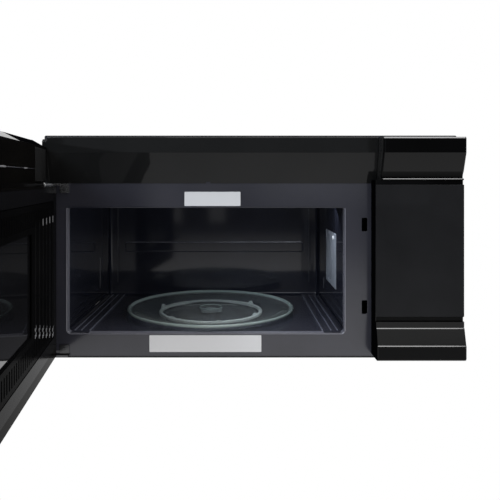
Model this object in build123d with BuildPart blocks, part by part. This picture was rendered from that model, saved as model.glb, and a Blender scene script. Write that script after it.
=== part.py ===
from build123d import *
from math import cos, radians, sin
import os

os.makedirs("parts", exist_ok=True)

# An over-the-range microwave oven with its door swung open. The origin is the centre of the
# cabinet's flat base, +X is the viewer's right, +Y runs towards the wall and +Z is up.

# Cabinet
body_width = 759.0
body_depth = 380.0
body_height = 409.0
sheet = 1.0
frame_sheet = 1.2
nest_gap = 0.2
fold = 12.0
base_lip = 3.0
case_round = 3.0

# Cavity
bay_width = 206.6
cavity_height = 231.0
cavity_depth = 365.0
cavity_offset = 42.1
cavity_floor = 45.0
cavity_round = 10.0
ledge_left = 37.0
ledge_right = 35.0
ledge_rise = 2.0
band_height = 25.0
band_base = 105.0
band_depth = 2.0

# Turntable
tray_radius = 177.5
tray_centre_depth = 183.0
tray_glass = 4.5
tray_rim_height = 9.2
tray_foot_radius = 150.0
recess_depth = 10.0
recess_margin = 12.0
ring_radius = 110.5
ring_width = 7.0
ring_height = 6.0
roller_diameter = 13.0
roller_width = 5.0
roller_axle = 3.0
roller_pin = 3.2
roll_gap = 0.3
running_gap = 0.05
roller_angles = (40.0, 160.0, 280.0)
lug_angles = (100.0, 220.0, 340.0)
hub_radius = 25.0
shaft_diameter = 7.0

# Front controls and trim
panel_width = 157.2
panel_bottom = 7.7
panel_top = 403.5
nose_reach = 50.0
glass_reach = 37.5
ledge_reach = 39.0
cove_reach = 37.0
nose_round = 6.0
high_round = 3.0
moulding = 2.5
low_nose = 35.5
low_slant = 63.0
glass_low = 83.4
glass_high = 319.0
glass_sheet = 4.0
reveal = 8.5
cove_low = 330.0
cove_high = 342.0
cove_sink = 5.0
high_nose = 375.6
bulge_inset = 9.2
trim_low = 321.0
trim_nose = 377.0
trim_top = 406.0
trim_reach = 17.0
trim_wall = 2.0
end_cap_width = 9.5
vent_places = (-330.0, -145.0, 40.0)
vent_width = 170.0
vent_margin = 12.0
end_cap_top = 401.6

# Door
door_open = 83.4
door_top = 400.0
door_top_fall = 9.5
door_gap = 3.0
door_air = 2.0
hinge_inset = 6.5
hinge_reach = 24.0
hinge_pin = 6.0
hinge_bush = 9.0
hinge_sheet = 3.5
hinge_arm = 12.0
skin_wall = 2.2
strip_width = 22.5
choke_inset = 8.5
choke_depth = 22.0
choke_sheet = 1.2
choke_ring = 43.5
choke_bottom = 26.0
choke_top = 313.0
latch_zone = 16.3
slot_width = 10.0
slot_height = 25.0
slot_offset = 9.3
slot_levels = (93.0, 245.0)
hook_width = 6.0
hook_reach = 22.0
latch_travel = 5.0
handle_length = 250.0
handle_width = 22.0
handle_thick = 14.0
handle_stand = 38.0
handle_inset = 34.0
handle_middle = 201.0
handle_screw = 4.0
post_inset = 22.0
post_side = 16.0

# Port in the cavity's right wall
cover_depth = 127.0
cover_height = 111.0
cover_front = 93.0
cover_base = 63.0
cover_sheet = 0.8
clip_head = 9.0
clip_stem = 4.0

# Parts behind the panels
duct_width = 254.0
duct_depth = 83.0
duct_middle = 100.0
collar_depth = 9.8
guide_depth = 40.0
magnetron_height = 80.0
magnetron_width = 96.0
magnetron_length = 58.0
tube_level = 163.0
tube_depth = 85.0
core_gap = 16.0
transformer_width = 104.0
transformer_stack = 60.0
transformer_height = 86.0
fan_radius = 56.0
fan_tip_gap = 3.0
fan_frame = 130.0
fan_depth = 39.0
fan_blades = 5
blower_roof_gap = 6.2
blower_foot = 1.0
wheel_gap = 7.0
motor_gap = 13.0
wheel_length = 78.0
wheel_blades = 14
blower_motor_length = 72.0
blower_shaft = 8.0
filter_width = 170.0
filter_depth = 200.0
filter_thick = 9.0
filter_spread = 120.0
filter_gap = 24.9
filter_middle = 60.0
lens_spread = 200.0
lens_width = 86.0
lens_depth = 51.0
lens_middle = -120.0
bolt_hole = 7.0
bolt_spread = 280.0
bolt_middle = -90.0
cable_hole = 22.0
cable_place = (300.0, 110.0)
screw_shank = 3.5
screw_head = 7.0
screw_rise = 1.8
dimple_radius = 6.0
dimple_depth = 2.2
rear_flange = 18.0
screw_inset = 9.5
screw_end_gap = 45.0
hole_sides = 8
dimple_sides = 16

# Places that follow from the sizes
x_left = -body_width / 2
x_right = body_width / 2
y_front = -body_depth / 2
y_back = body_depth / 2
y_frame = y_front + frame_sheet
inside_left = x_left + sheet + nest_gap
inside_right = x_right - sheet - nest_gap
inside_back = y_back - sheet
inside_top = body_height - sheet
cavity_left = x_left + cavity_offset
cavity_right = x_right - bay_width
cavity_top = cavity_floor + cavity_height
cavity_back = y_frame + cavity_depth
tray_x = (cavity_left + ledge_left + cavity_right - ledge_right) / 2
tray_y = y_front + tray_centre_depth
track_z = cavity_floor - recess_depth
roller_z = track_z + roll_gap + roller_diameter / 2
tray_z = roller_z + roller_diameter / 2 + roll_gap
roller_track = ring_radius + 1.0 + roller_width / 2
recess_radius = roller_track + recess_margin
guide_x0 = cavity_right + sheet
guide_x1 = guide_x0 + guide_depth
core_x0 = guide_x1 + core_gap
filter_places = (-filter_spread, core_x0 - filter_gap - filter_width / 2)
panel_left = x_right - panel_width
bulge_left = panel_left + bulge_inset
y_nose = y_front - nose_reach
y_glass = y_front - glass_reach
y_seat = y_glass + glass_sheet
y_ledge = y_front - ledge_reach
y_cove = y_front - cove_reach
hinge_x = x_left + hinge_inset
hinge_y = y_front - hinge_reach
door_right = panel_left - door_gap
door_bulge_right = bulge_left - door_gap
y_choke = y_front - door_air
y_skin = y_choke - choke_sheet
y_shoulder = y_front - trim_reach - door_air - 2.5
shoulder_z = choke_top + 3.0
choke_left = x_left + choke_inset
choke_right = door_right - latch_zone
slot_x = door_right - slot_offset
handle_x = door_right - handle_inset
handle_y1 = y_glass - handle_stand
handle_low = handle_middle - handle_length / 2
handle_high = handle_middle + handle_length / 2
post_levels = (handle_low + post_inset, handle_high - post_inset)
cover_y0 = y_front + cover_front
cover_y1 = cover_y0 + cover_depth
cover_z0 = cavity_floor + cover_base
cover_z1 = cover_z0 + cover_height
hinge_axis = Axis((hinge_x, hinge_y, 0), (0, 0, 1))


def front_plane(y):
    """Upright plane at depth y that faces the room: x across, z up, extruding to the room."""
    return Plane.XZ.offset(-y)


def side_plane(x):
    """Upright plane at x that faces right: y across, z up."""
    return Plane.YZ.offset(x)


def level(z):
    """Level plane at height z."""
    return Plane.XY.offset(z)


def block(low, high, mode=Mode.ADD):
    """Box between two opposite corners."""
    middle = [(a + b) / 2 for a, b in zip(low, high)]
    size = [b - a for a, b in zip(low, high)]
    with Locations(tuple(middle)):
        Box(*size, mode=mode)


def patch(low, high, round_by=0.0, mode=Mode.ADD):
    """Rectangle between two opposite corners of a sketch, with rounded corners if asked."""
    with Locations(((low[0] + high[0]) / 2, (low[1] + high[1]) / 2)):
        if round_by:
            RectangleRounded(high[0] - low[0], high[1] - low[1], round_by, mode=mode)
        else:
            Rectangle(high[0] - low[0], high[1] - low[1], mode=mode)


def rod(place, direction, radius, length, mode=Mode.ADD):
    """Cylinder that starts at a place and runs along a direction."""
    with Locations(Plane(origin=place, z_dir=direction)):
        Cylinder(radius, length, align=(Align.CENTER, Align.CENTER, Align.MIN), mode=mode)


def studs(y, places, radius, sides, length, mode=Mode.ADD):
    """Prisms that start at depth y and run towards the room, one at each place."""
    with BuildSketch(front_plane(y)) as outline:
        with Locations(*places):
            RegularPolygon(radius, sides)
    extrude(outline.sketch, amount=length, mode=mode)


def fascia(inset, top, fall, back_low, back_high, shoulder):
    """Side outline shared by the door and the control housing, moved inwards by inset.

    The top starts at height top above the nose and drops by fall on its way to the back.
    """
    low = panel_bottom + inset
    high = top - inset
    corner = nose_round - inset
    edge = high_round - inset
    nose = y_nose + inset
    seat = y_seat + inset
    cove = y_cove + inset
    lip_low = glass_high + reveal + inset / 2
    Line((back_low, low), (nose + corner, low))
    RadiusArc((nose + corner, low), (nose, low + corner), corner)
    Polyline(
        (nose, low + corner),
        (nose, low_nose),
        (y_ledge + inset, low_slant),
        (y_ledge + inset, glass_low - reveal - inset),
        (seat, glass_low - reveal - inset),
        (seat, lip_low),
        (cove - 1, lip_low),
        (cove - 1, cove_low),
    )
    ThreePointArc(
        (cove - 1, cove_low),
        (cove - 1 + cove_sink, (cove_low + cove_high) / 2),
        (cove, cove_high),
    )
    Polyline((cove, cove_high), (nose, high_nose), (nose, high - edge))
    RadiusArc((nose, high - edge), (nose + edge, high), edge)
    step = [(back_high, shoulder - inset), (back_low, shoulder - inset)]
    if back_low == back_high:
        step = []
    Polyline((nose + edge, high), (back_high, high - fall), *step, (back_low, low))


def swing_open(piece):
    """A door piece turned about the hinge from its closed place to its open one."""
    return piece.rotate(hinge_axis, -door_open)


# Outer case: top and both sides in one bent sheet, with a rear flange for the back panel
rear_flange_y = inside_back - dimple_depth - nest_gap - sheet
screw_hole = screw_shank / 2 + 2 * nest_gap
back_screws = [
    (x, z)
    for x in (inside_left + screw_inset, inside_right - screw_inset)
    for z in (screw_end_gap, body_height / 2, body_height - screw_end_gap)
]
with BuildPart() as outer_case:
    with BuildSketch(front_plane(y_back)) as wrap:
        patch((x_left, 0), (x_right, body_height))
        fillet(wrap.vertices().group_by(Axis.Y)[-1], case_round)
    extrude(amount=body_depth)
    with BuildSketch(front_plane(y_back)) as hollow:
        patch((x_left + sheet, -1), (x_right - sheet, inside_top))
        fillet(hollow.vertices().group_by(Axis.Y)[-1], case_round - sheet)
    extrude(amount=body_depth, mode=Mode.SUBTRACT)
    for x0, x1 in (
        (x_left + sheet, inside_left + rear_flange),
        (inside_right - rear_flange, x_right - sheet),
    ):
        block((x0, rear_flange_y, 2 * fold), (x1, rear_flange_y + sheet, inside_top - fold))
    studs(inside_back, back_screws, screw_hole, hole_sides, 2 * dimple_depth, Mode.SUBTRACT)
    block(
        (-duct_width / 2, duct_middle - duct_depth / 2, inside_top - 1),
        (duct_width / 2, duct_middle + duct_depth / 2, body_height + 1),
        Mode.SUBTRACT,
    )
    for x in (-bolt_spread, bolt_spread):
        rod((x, bolt_middle, inside_top - 1), (0, 0, 1), bolt_hole / 2, sheet + 2, Mode.SUBTRACT)
    rod((*cable_place, inside_top - 1), (0, 0, 1), cable_hole / 2, sheet + 2, Mode.SUBTRACT)
outer_case.part.label = "outer_case"
export_step(outer_case.part, "parts/outer_case.step")

# Back panel: flat sheet with a pressed field, slots for the wall plate's hooks and screw dimples
hook_slots = (-300.0, -100.0, 100.0, 300.0)
hook_level = 22.0
hook_slot_length = 30.0
hook_slot_width = 8.0
press_low = (-300.0, 60.0)
press_high = (190.0, 350.0)
press_round = 30.0
press_depth = 1.5
with BuildPart() as back_panel:
    with BuildSketch(front_plane(y_back)):
        patch((inside_left, sheet + nest_gap), (inside_right, inside_top - nest_gap), case_round)
    extrude(amount=sheet)
    for inset, depth, mode in ((0.0, inside_back, Mode.ADD), (sheet, y_back, Mode.SUBTRACT)):
        with BuildSketch(front_plane(depth)):
            patch(
                (press_low[0] + inset, press_low[1] + inset),
                (press_high[0] - inset, press_high[1] - inset),
                press_round - inset,
            )
        extrude(amount=press_depth, mode=mode)
        studs(depth, back_screws, dimple_radius + sheet - inset, dimple_sides, dimple_depth, mode)
    with BuildSketch(front_plane(y_back)):
        with Locations(*[(x, hook_level) for x in hook_slots]):
            SlotOverall(hook_slot_length, hook_slot_width)
    extrude(amount=sheet, mode=Mode.SUBTRACT)
    studs(y_back, back_screws, screw_hole, hole_sides, 2 * dimple_depth, Mode.SUBTRACT)
back_panel.part.label = "back_panel"
export_step(back_panel.part, "parts/back_panel.step")

seat_y = y_back - dimple_depth
with BuildPart() as case_screws:
    studs(seat_y + screw_rise, back_screws, screw_head / 2, 6, screw_rise)
    studs(seat_y, back_screws, screw_shank / 2, hole_sides, seat_y - rear_flange_y + 4)
case_screws.part.label = "case_screws"
export_step(case_screws.part, "parts/case_screws.step")

# Base pan: flat underside with windows for two grease filters and two lamp lenses
with BuildPart() as base_pan:
    block((inside_left, y_front, 0), (inside_right, inside_back - nest_gap, sheet))
    block((inside_left, y_front, 0), (inside_right, y_frame, base_lip))
    for x0 in (inside_left, inside_right - sheet):
        block((x0, y_frame + 1, sheet / 2), (x0 + sheet, rear_flange_y - 1, fold))
    for x in filter_places:
        block(
            (x - filter_width / 2 + 5, filter_middle - filter_depth / 2 + 5, -1),
            (x + filter_width / 2 - 5, filter_middle + filter_depth / 2 - 5, sheet + 1),
            Mode.SUBTRACT,
        )
    for x in (-lens_spread, lens_spread):
        block(
            (x - lens_width / 2, lens_middle - lens_depth / 2, -1),
            (x + lens_width / 2, lens_middle + lens_depth / 2, sheet + 1),
            Mode.SUBTRACT,
        )
base_pan.part.label = "base_pan"
export_step(base_pan.part, "parts/base_pan.step")

# Grease filters: two framed mesh panels that lie on the base pan's window edges
with BuildPart() as grease_filters:
    for x in filter_places:
        low = (x - filter_width / 2, filter_middle - filter_depth / 2)
        high = (x + filter_width / 2, filter_middle + filter_depth / 2)
        with BuildSketch(level(sheet)):
            patch(low, high, 4)
            patch((low[0] + 8, low[1] + 8), (high[0] - 8, high[1] - 8), mode=Mode.SUBTRACT)
        extrude(amount=filter_thick)
        block((low[0] + 7, low[1] + 7, sheet + 3), (high[0] - 7, high[1] - 7, sheet + 6))
grease_filters.part.label = "grease_filters"
export_step(grease_filters.part, "parts/grease_filters.step")

# Lamp lenses: stepped panes that hang on the window edges, and the lamps above them
with BuildPart() as lamp_lenses:
    for side in (-1, 1):
        x = side * lens_spread
        block(
            (x - lens_width / 2 + 0.5, lens_middle - lens_depth / 2 + 0.5, 0),
            (x + lens_width / 2 - 0.5, lens_middle + lens_depth / 2 - 0.5, sheet + 1),
        )
        block(
            (x - lens_width / 2 - 5, lens_middle - lens_depth / 2 - 5, sheet),
            (x + lens_width / 2 + 5, lens_middle + lens_depth / 2 + 5, sheet + 2),
        )
lamp_lenses.part.label = "lamp_lenses"
export_step(lamp_lenses.part, "parts/lamp_lenses.step")

socket_x = lens_width / 2 + 28
lamp_z = 22.0
with BuildPart() as lamp_sockets:
    for side in (-1, 1):
        x = side * lens_spread - socket_x
        block((x, lens_middle - 14, sheet), (x + 16, lens_middle + 14, lamp_z + 11))
        block((x - 10, lens_middle - 14, sheet), (x, lens_middle + 14, sheet + 2))
        rod((x + 4, lens_middle, lamp_z), (1, 0, 0), 7.2, 13, Mode.SUBTRACT)
lamp_sockets.part.label = "lamp_sockets"
export_step(lamp_sockets.part, "parts/lamp_sockets.step")

with BuildPart() as cooktop_lamps:
    for side in (-1, 1):
        base = side * lens_spread - socket_x + 4
        rod((base, lens_middle, lamp_z), (1, 0, 0), 7, 22)
        rod((base + 22, lens_middle, lamp_z), (1, 0, 0), 11, 21)
        chamfer(cooktop_lamps.edges().filter_by(GeomType.CIRCLE).group_by(Axis.X)[-1], 5)
cooktop_lamps.part.label = "cooktop_lamps"
export_step(cooktop_lamps.part, "parts/cooktop_lamps.step")

# Front frame: one plate with the cavity opening, latch slots, wiring window and vent window
vent_low = trim_low + vent_margin
vent_high = trim_top - vent_margin
with BuildPart() as front_frame:
    with BuildSketch(front_plane(y_frame)):
        patch((inside_left, base_lip), (inside_right, inside_top - nest_gap), case_round)
        patch((cavity_left, cavity_floor), (cavity_right, cavity_top), cavity_round, Mode.SUBTRACT)
        for z in slot_levels:
            patch(
                (slot_x - slot_width / 2, z - slot_height / 2),
                (slot_x + slot_width / 2, z + slot_height / 2),
                2,
                Mode.SUBTRACT,
            )
        patch((panel_left + 30, glass_low), (x_right - 30, glass_high), 6, Mode.SUBTRACT)
        for x0 in vent_places:
            patch((x0, vent_low), (x0 + vent_width, vent_high), 6, Mode.SUBTRACT)
    extrude(amount=frame_sheet)
    for x0 in (inside_left, inside_right - sheet):
        block((x0, y_frame, fold + 2), (x0 + sheet, y_frame + fold, inside_top - 4))
    block(
        (inside_left + 4, y_frame, inside_top - nest_gap - sheet),
        (inside_right - 4, y_frame + fold, inside_top - nest_gap),
    )
front_frame.part.label = "front_frame"
export_step(front_frame.part, "parts/front_frame.step")

# Cavity liner: drawn steel box with a round track recess, raised side ledges and a pressed band
port_y0 = cover_y0 + 22
port_y1 = cover_y1 - 20
port_z0 = cover_z0 + 18
port_z1 = cover_z1 - 20
clip_y = cover_y0 + 30
clip_z = cover_z1 - 10
lamp_hole_x = cavity_right - 60
with BuildPart() as cavity_liner:
    with BuildSketch(front_plane(cavity_back + sheet)):
        patch(
            (cavity_left - sheet, cavity_floor - sheet),
            (cavity_right + sheet, cavity_top + sheet),
            cavity_round + sheet,
        )
    extrude(amount=cavity_depth + sheet)
    with Locations((tray_x, tray_y, track_z - sheet)):
        Cylinder(
            recess_radius + sheet,
            recess_depth,
            align=(Align.CENTER, Align.CENTER, Align.MIN),
        )
    with BuildSketch(front_plane(cavity_back)):
        patch((cavity_left, cavity_floor), (cavity_right, cavity_top), cavity_round)
    extrude(amount=cavity_depth, mode=Mode.SUBTRACT)
    with BuildSketch(front_plane(cavity_back + sheet / 2)):
        with BuildLine():
            Polyline(
                (cavity_left - sheet / 2, cavity_floor + cavity_round),
                (cavity_left + ledge_rise, cavity_floor + cavity_round),
                (cavity_left + cavity_round, cavity_floor + ledge_rise),
                (cavity_left + ledge_left, cavity_floor + ledge_rise),
                (cavity_left + ledge_left + 3, cavity_floor - sheet / 2),
                (cavity_left + cavity_round, cavity_floor - sheet / 2),
                (cavity_left - sheet / 2, cavity_floor + cavity_round),
            )
        make_face()
        with BuildLine():
            Polyline(
                (cavity_right + sheet / 2, cavity_floor + cavity_round),
                (cavity_right - ledge_rise, cavity_floor + cavity_round),
                (cavity_right - cavity_round, cavity_floor + ledge_rise),
                (cavity_right - ledge_right, cavity_floor + ledge_rise),
                (cavity_right - ledge_right - 3, cavity_floor - sheet / 2),
                (cavity_right - cavity_round, cavity_floor - sheet / 2),
                (cavity_right + sheet / 2, cavity_floor + cavity_round),
            )
        make_face()
    extrude(amount=cavity_depth - 12)
    with BuildSketch(front_plane(cavity_back)):
        patch(
            (cavity_left + ledge_left, cavity_floor + band_base),
            (cavity_right - ledge_right, cavity_floor + band_base + band_height),
            4,
        )
    extrude(amount=band_depth)
    with Locations((tray_x, tray_y, track_z)):
        Cylinder(
            recess_radius,
            recess_depth + ledge_rise + 1,
            align=(Align.CENTER, Align.CENTER, Align.MIN),
            mode=Mode.SUBTRACT,
        )
    rod((tray_x, tray_y, track_z - 3), (0, 0, 1), shaft_diameter / 2 + 2, 6, Mode.SUBTRACT)
    block(
        (cavity_right - 1, port_y0, port_z0),
        (cavity_right + sheet + 1, port_y1, port_z1),
        Mode.SUBTRACT,
    )
    rod((cavity_right - 1, clip_y, clip_z), (1, 0, 0), clip_stem / 2 + nest_gap, 3, Mode.SUBTRACT)
    for row in range(4):
        for column in range(5):
            x = lamp_hole_x + column * 8
            y = y_frame + 60 + row * 8
            block(
                (x - 2, y - 2, cavity_top - 1), (x + 2, y + 2, cavity_top + sheet + 1), Mode.SUBTRACT
            )
cavity_liner.part.label = "cavity_liner"
export_step(cavity_liner.part, "parts/cavity_liner.step")

# Waveguide cover: thin sheet on the right wall, held by one push-in clip
with BuildPart() as waveguide_cover:
    with BuildSketch(side_plane(cavity_right - cover_sheet)):
        patch((cover_y0, cover_z0), (cover_y1, cover_z1), 5)
        with Locations((clip_y, clip_z)):
            Circle(clip_stem / 2 + nest_gap, mode=Mode.SUBTRACT)
    extrude(amount=cover_sheet)
waveguide_cover.part.label = "waveguide_cover"
export_step(waveguide_cover.part, "parts/waveguide_cover.step")

with BuildPart() as cover_clip:
    rod((cavity_right - cover_sheet, clip_y, clip_z), (-1, 0, 0), clip_head / 2, 1.5)
    chamfer(cover_clip.edges().group_by(Axis.X)[0], 0.8)
    rod((cavity_right - cover_sheet, clip_y, clip_z), (1, 0, 0), clip_stem / 2, 3.5)
cover_clip.part.label = "cover_clip"
export_step(cover_clip.part, "parts/cover_clip.step")

# Waveguide: duct on the outside of the right wall, with a flange round the port
guide_y0 = port_y0 - 6
guide_y1 = tube_depth + magnetron_width / 2
guide_z0 = port_z0 - 6
guide_z1 = port_z1 + 10
with BuildPart() as waveguide:
    block((guide_x0, guide_y0, guide_z0), (guide_x1, guide_y1, guide_z1))
    fillet(waveguide.edges().filter_by(Axis.Z).group_by(Axis.X)[-1], 8)
    block((guide_x0, guide_y0 - 10, guide_z0 - 8), (guide_x0 + 1.5, guide_y1 + 10, guide_z1 + 8))
    block(
        (guide_x0 - 1, guide_y0 + 1.5, guide_z0 + 1.5),
        (guide_x1 - 1.5, guide_y1 - 1.5, guide_z1 - 1.5),
        Mode.SUBTRACT,
    )
    rod((guide_x1 - 3, tube_depth, tube_level), (1, 0, 0), 12, 6, Mode.SUBTRACT)
    rod((guide_x0 - 1, clip_y, clip_z), (1, 0, 0), clip_stem / 2 + nest_gap, 4, Mode.SUBTRACT)
waveguide.part.label = "waveguide"
export_step(waveguide.part, "parts/waveguide.step")

# Magnetron: steel yoke open to the air stream, and the finned tube with its antenna
yoke_x0 = guide_x1
yoke_x1 = yoke_x0 + magnetron_length
yoke_y0 = tube_depth - magnetron_width / 2
yoke_y1 = tube_depth + magnetron_width / 2
yoke_z0 = tube_level - magnetron_height / 2
yoke_z1 = tube_level + magnetron_height / 2
with BuildPart() as magnetron_yoke:
    block((yoke_x0, yoke_y0, yoke_z0), (yoke_x1, yoke_y1, yoke_z1))
    block(
        (yoke_x0 + 2, yoke_y0 + 2, yoke_z0 - 1),
        (yoke_x1 - 2, yoke_y1 - 2, yoke_z1 + 1),
        Mode.SUBTRACT,
    )
    rod((yoke_x0 - 1, tube_depth, tube_level), (1, 0, 0), 14, 4, Mode.SUBTRACT)
    rod((yoke_x1 - 3, tube_depth, tube_level), (1, 0, 0), 16, 4, Mode.SUBTRACT)
magnetron_yoke.part.label = "magnetron_yoke"
export_step(magnetron_yoke.part, "parts/magnetron_yoke.step")

fin_pitch = 7.0
with BuildPart() as magnetron_tube:
    axis_start = (yoke_x0, tube_depth, tube_level)
    with BuildSketch(Plane.XZ.offset(-tube_depth)):
        with BuildLine():
            Polyline(
                (yoke_x0 - 26, tube_level),
                (yoke_x0 - 26, tube_level + 7),
                (yoke_x0 - 10, tube_level + 8),
                (yoke_x0 - 10, tube_level + 10),
                (yoke_x0 + 2, tube_level + 10),
                (yoke_x0 + 2, tube_level + 27),
                (yoke_x0 + 13, tube_level + 27),
                (yoke_x0 + 13, tube_level + 19),
                (yoke_x1 - 13, tube_level + 19),
                (yoke_x1 - 13, tube_level + 27),
                (yoke_x1 - 2, tube_level + 27),
                (yoke_x1 - 2, tube_level + 14),
                (yoke_x1 + 2, tube_level + 14),
                (yoke_x1 + 2, tube_level),
                (yoke_x0 - 26, tube_level),
            )
        make_face()
    revolve(axis=Axis(axis_start, (1, 0, 0)))
    fin_count = int((magnetron_length - 30) // fin_pitch)
    for index in range(fin_count):
        x = yoke_x0 + 17 + index * fin_pitch
        block((x, yoke_y0 + 3, yoke_z0 + 2), (x + 0.8, yoke_y1 - 3, yoke_z1 - 2))
    block(
        (yoke_x1 + 0.3, tube_depth - 30, tube_level - 25),
        (yoke_x1 + 28, tube_depth + 30, tube_level + 25),
    )
magnetron_tube.part.label = "magnetron_tube"
export_step(magnetron_tube.part, "parts/magnetron_tube.step")

# High-voltage transformer: laminated core with two windows and a coil through both
core_x1 = core_x0 + transformer_width
core_y1 = tube_depth + transformer_stack / 2
core_y0 = core_y1 - transformer_stack
limb = transformer_width / 6
core_z0 = sheet
with BuildPart() as transformer_core:
    with BuildSketch(front_plane(core_y1)):
        patch((core_x0, core_z0 + 2), (core_x1, core_z0 + transformer_height))
        for side in (0, 1):
            x0 = core_x0 + limb + side * 3 * limb
            patch(
                (x0, core_z0 + 2 + limb),
                (x0 + limb, core_z0 + transformer_height - limb),
                mode=Mode.SUBTRACT,
            )
    extrude(amount=transformer_stack)
    block((core_x0, core_y0 - 12, core_z0), (core_x1, core_y1 + 12, core_z0 + 2))
transformer_core.part.label = "transformer_core"
export_step(transformer_core.part, "parts/transformer_core.step")

coil_low = core_z0 + 2 + limb + 0.5
coil_high = core_z0 + transformer_height - limb - 0.5
coil_mid = (coil_low + coil_high) / 2
with BuildPart() as transformer_coils:
    for z0, z1 in ((coil_low, coil_mid - 1), (coil_mid + 1, coil_high)):
        with BuildSketch(level(z0)):
            patch(
                (core_x0 + limb + 0.5, core_y0 - limb),
                (core_x1 - limb - 0.5, core_y1 + limb),
                10,
            )
            patch(
                (core_x0 + 2 * limb - 0.5, core_y0 - 0.5),
                (core_x1 - 2 * limb + 0.5, core_y1 + 0.5),
                mode=Mode.SUBTRACT,
            )
        extrude(amount=z1 - z0)
transformer_coils.part.label = "transformer_coils"
export_step(transformer_coils.part, "parts/transformer_coils.step")

# Capacitor: oval can lying on the base, held by a strap with a screwed foot
can_x = guide_x1 + 66
can_y0 = y_front + 60
can_length = 100.0
can_width = 54.0
can_height = 34.0
can_z = sheet + 1.4 + can_height / 2
with BuildPart() as capacitor:
    with BuildSketch(front_plane(can_y0 + can_length)):
        with Locations((can_x, can_z)):
            SlotOverall(can_width, can_height)
    extrude(amount=can_length)
    for dx in (-9, 9):
        block((can_x + dx - 3, can_y0 - 10, can_z - 0.4), (can_x + dx + 3, can_y0, can_z + 0.4))
capacitor.part.label = "capacitor"
export_step(capacitor.part, "parts/capacitor.step")

with BuildPart() as capacitor_clamp:
    with BuildSketch(front_plane(can_y0 + can_length * 0.6)):
        with Locations((can_x, can_z)):
            SlotOverall(can_width + 2.6, can_height + 2.6)
            SlotOverall(can_width + 0.3, can_height + 0.3, mode=Mode.SUBTRACT)
        patch((can_x + 20, sheet), (can_x + 48, sheet + 1.2))
        patch((can_x - 20, sheet), (can_x + 20, sheet + 0.9))
    extrude(amount=14)
capacitor_clamp.part.label = "capacitor_clamp"
export_step(capacitor_clamp.part, "parts/capacitor_clamp.step")

# Cooling fan: square housing on the back panel, motor on its arms, five-bladed rotor
fan_x = guide_x1 + 71
fan_z = 285.0
fan_y1 = inside_back
fan_y0 = fan_y1 - fan_depth
arm_y1 = fan_y0 + 4
with BuildPart() as fan_housing:
    block(
        (fan_x - fan_frame / 2, fan_y0, fan_z - fan_frame / 2),
        (fan_x + fan_frame / 2, fan_y1, fan_z + fan_frame / 2),
    )
    block(
        (fan_x - fan_frame / 2 - 6, fan_y1 - sheet, fan_z - fan_frame / 2 - 6),
        (fan_x + fan_frame / 2 + 6, fan_y1, fan_z + fan_frame / 2 + 6),
    )
    rod((fan_x, fan_y0 - 1, fan_z), (0, 1, 0), fan_radius + fan_tip_gap, fan_depth + 2, Mode.SUBTRACT)
    for low, high in (
        ((fan_x - fan_frame / 2, fan_z - 6), (fan_x + fan_frame / 2, fan_z + 6)),
        ((fan_x - 6, fan_z - fan_frame / 2), (fan_x + 6, fan_z + fan_frame / 2)),
    ):
        block((low[0], fan_y0, low[1]), (high[0], arm_y1, high[1]))
    rod((fan_x, fan_y0, fan_z), (0, 1, 0), 22, 4)
    rod((fan_x, fan_y0 - 1, fan_z), (0, 1, 0), 5, 6, Mode.SUBTRACT)
fan_housing.part.label = "fan_housing"
export_step(fan_housing.part, "parts/fan_housing.step")

motor_back = fan_y0
with BuildPart() as fan_motor:
    block((fan_x - 30, motor_back - 22, fan_z - 34), (fan_x + 30, motor_back, fan_z + 26))
    with BuildSketch(front_plane(motor_back)):
        with Locations((fan_x - 16, fan_z - 24), (fan_x + 16, fan_z - 24)):
            Rectangle(10, 12)
    extrude(amount=22, mode=Mode.SUBTRACT)
    rod((fan_x, motor_back - 23, fan_z), (0, 1, 0), 2.5 + running_gap, 24, Mode.SUBTRACT)
    block((fan_x - 9, motor_back - 30, fan_z - 32), (fan_x + 9, motor_back - 21.5, fan_z - 16))
fan_motor.part.label = "fan_motor"
export_step(fan_motor.part, "parts/fan_motor.step")

blade_y0 = arm_y1 + 4
with BuildPart() as fan_blade:
    rod((fan_x, motor_back - 22, fan_z), (0, 1, 0), 2.5, blade_y0 + 18 - motor_back + 22)
    rod((fan_x, blade_y0, fan_z), (0, 1, 0), 14, 18)
    for index in range(fan_blades):
        spin = 360 / fan_blades * index
        root = Plane(
            origin=(fan_x + 10 * sin(radians(spin)), blade_y0 + 9, fan_z + 10 * cos(radians(spin))),
            x_dir=(cos(radians(spin)), 0.55, -sin(radians(spin))),
            z_dir=(sin(radians(spin)), 0, cos(radians(spin))),
        )
        tip = root.offset(fan_radius - 12)
        with BuildSketch(root):
            Rectangle(16, 1.4)
        with BuildSketch(tip):
            Rectangle(30, 1.2)
        loft(ruled=True)
fan_blade.part.label = "fan_blade"
export_step(fan_blade.part, "parts/fan_blade.step")

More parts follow.
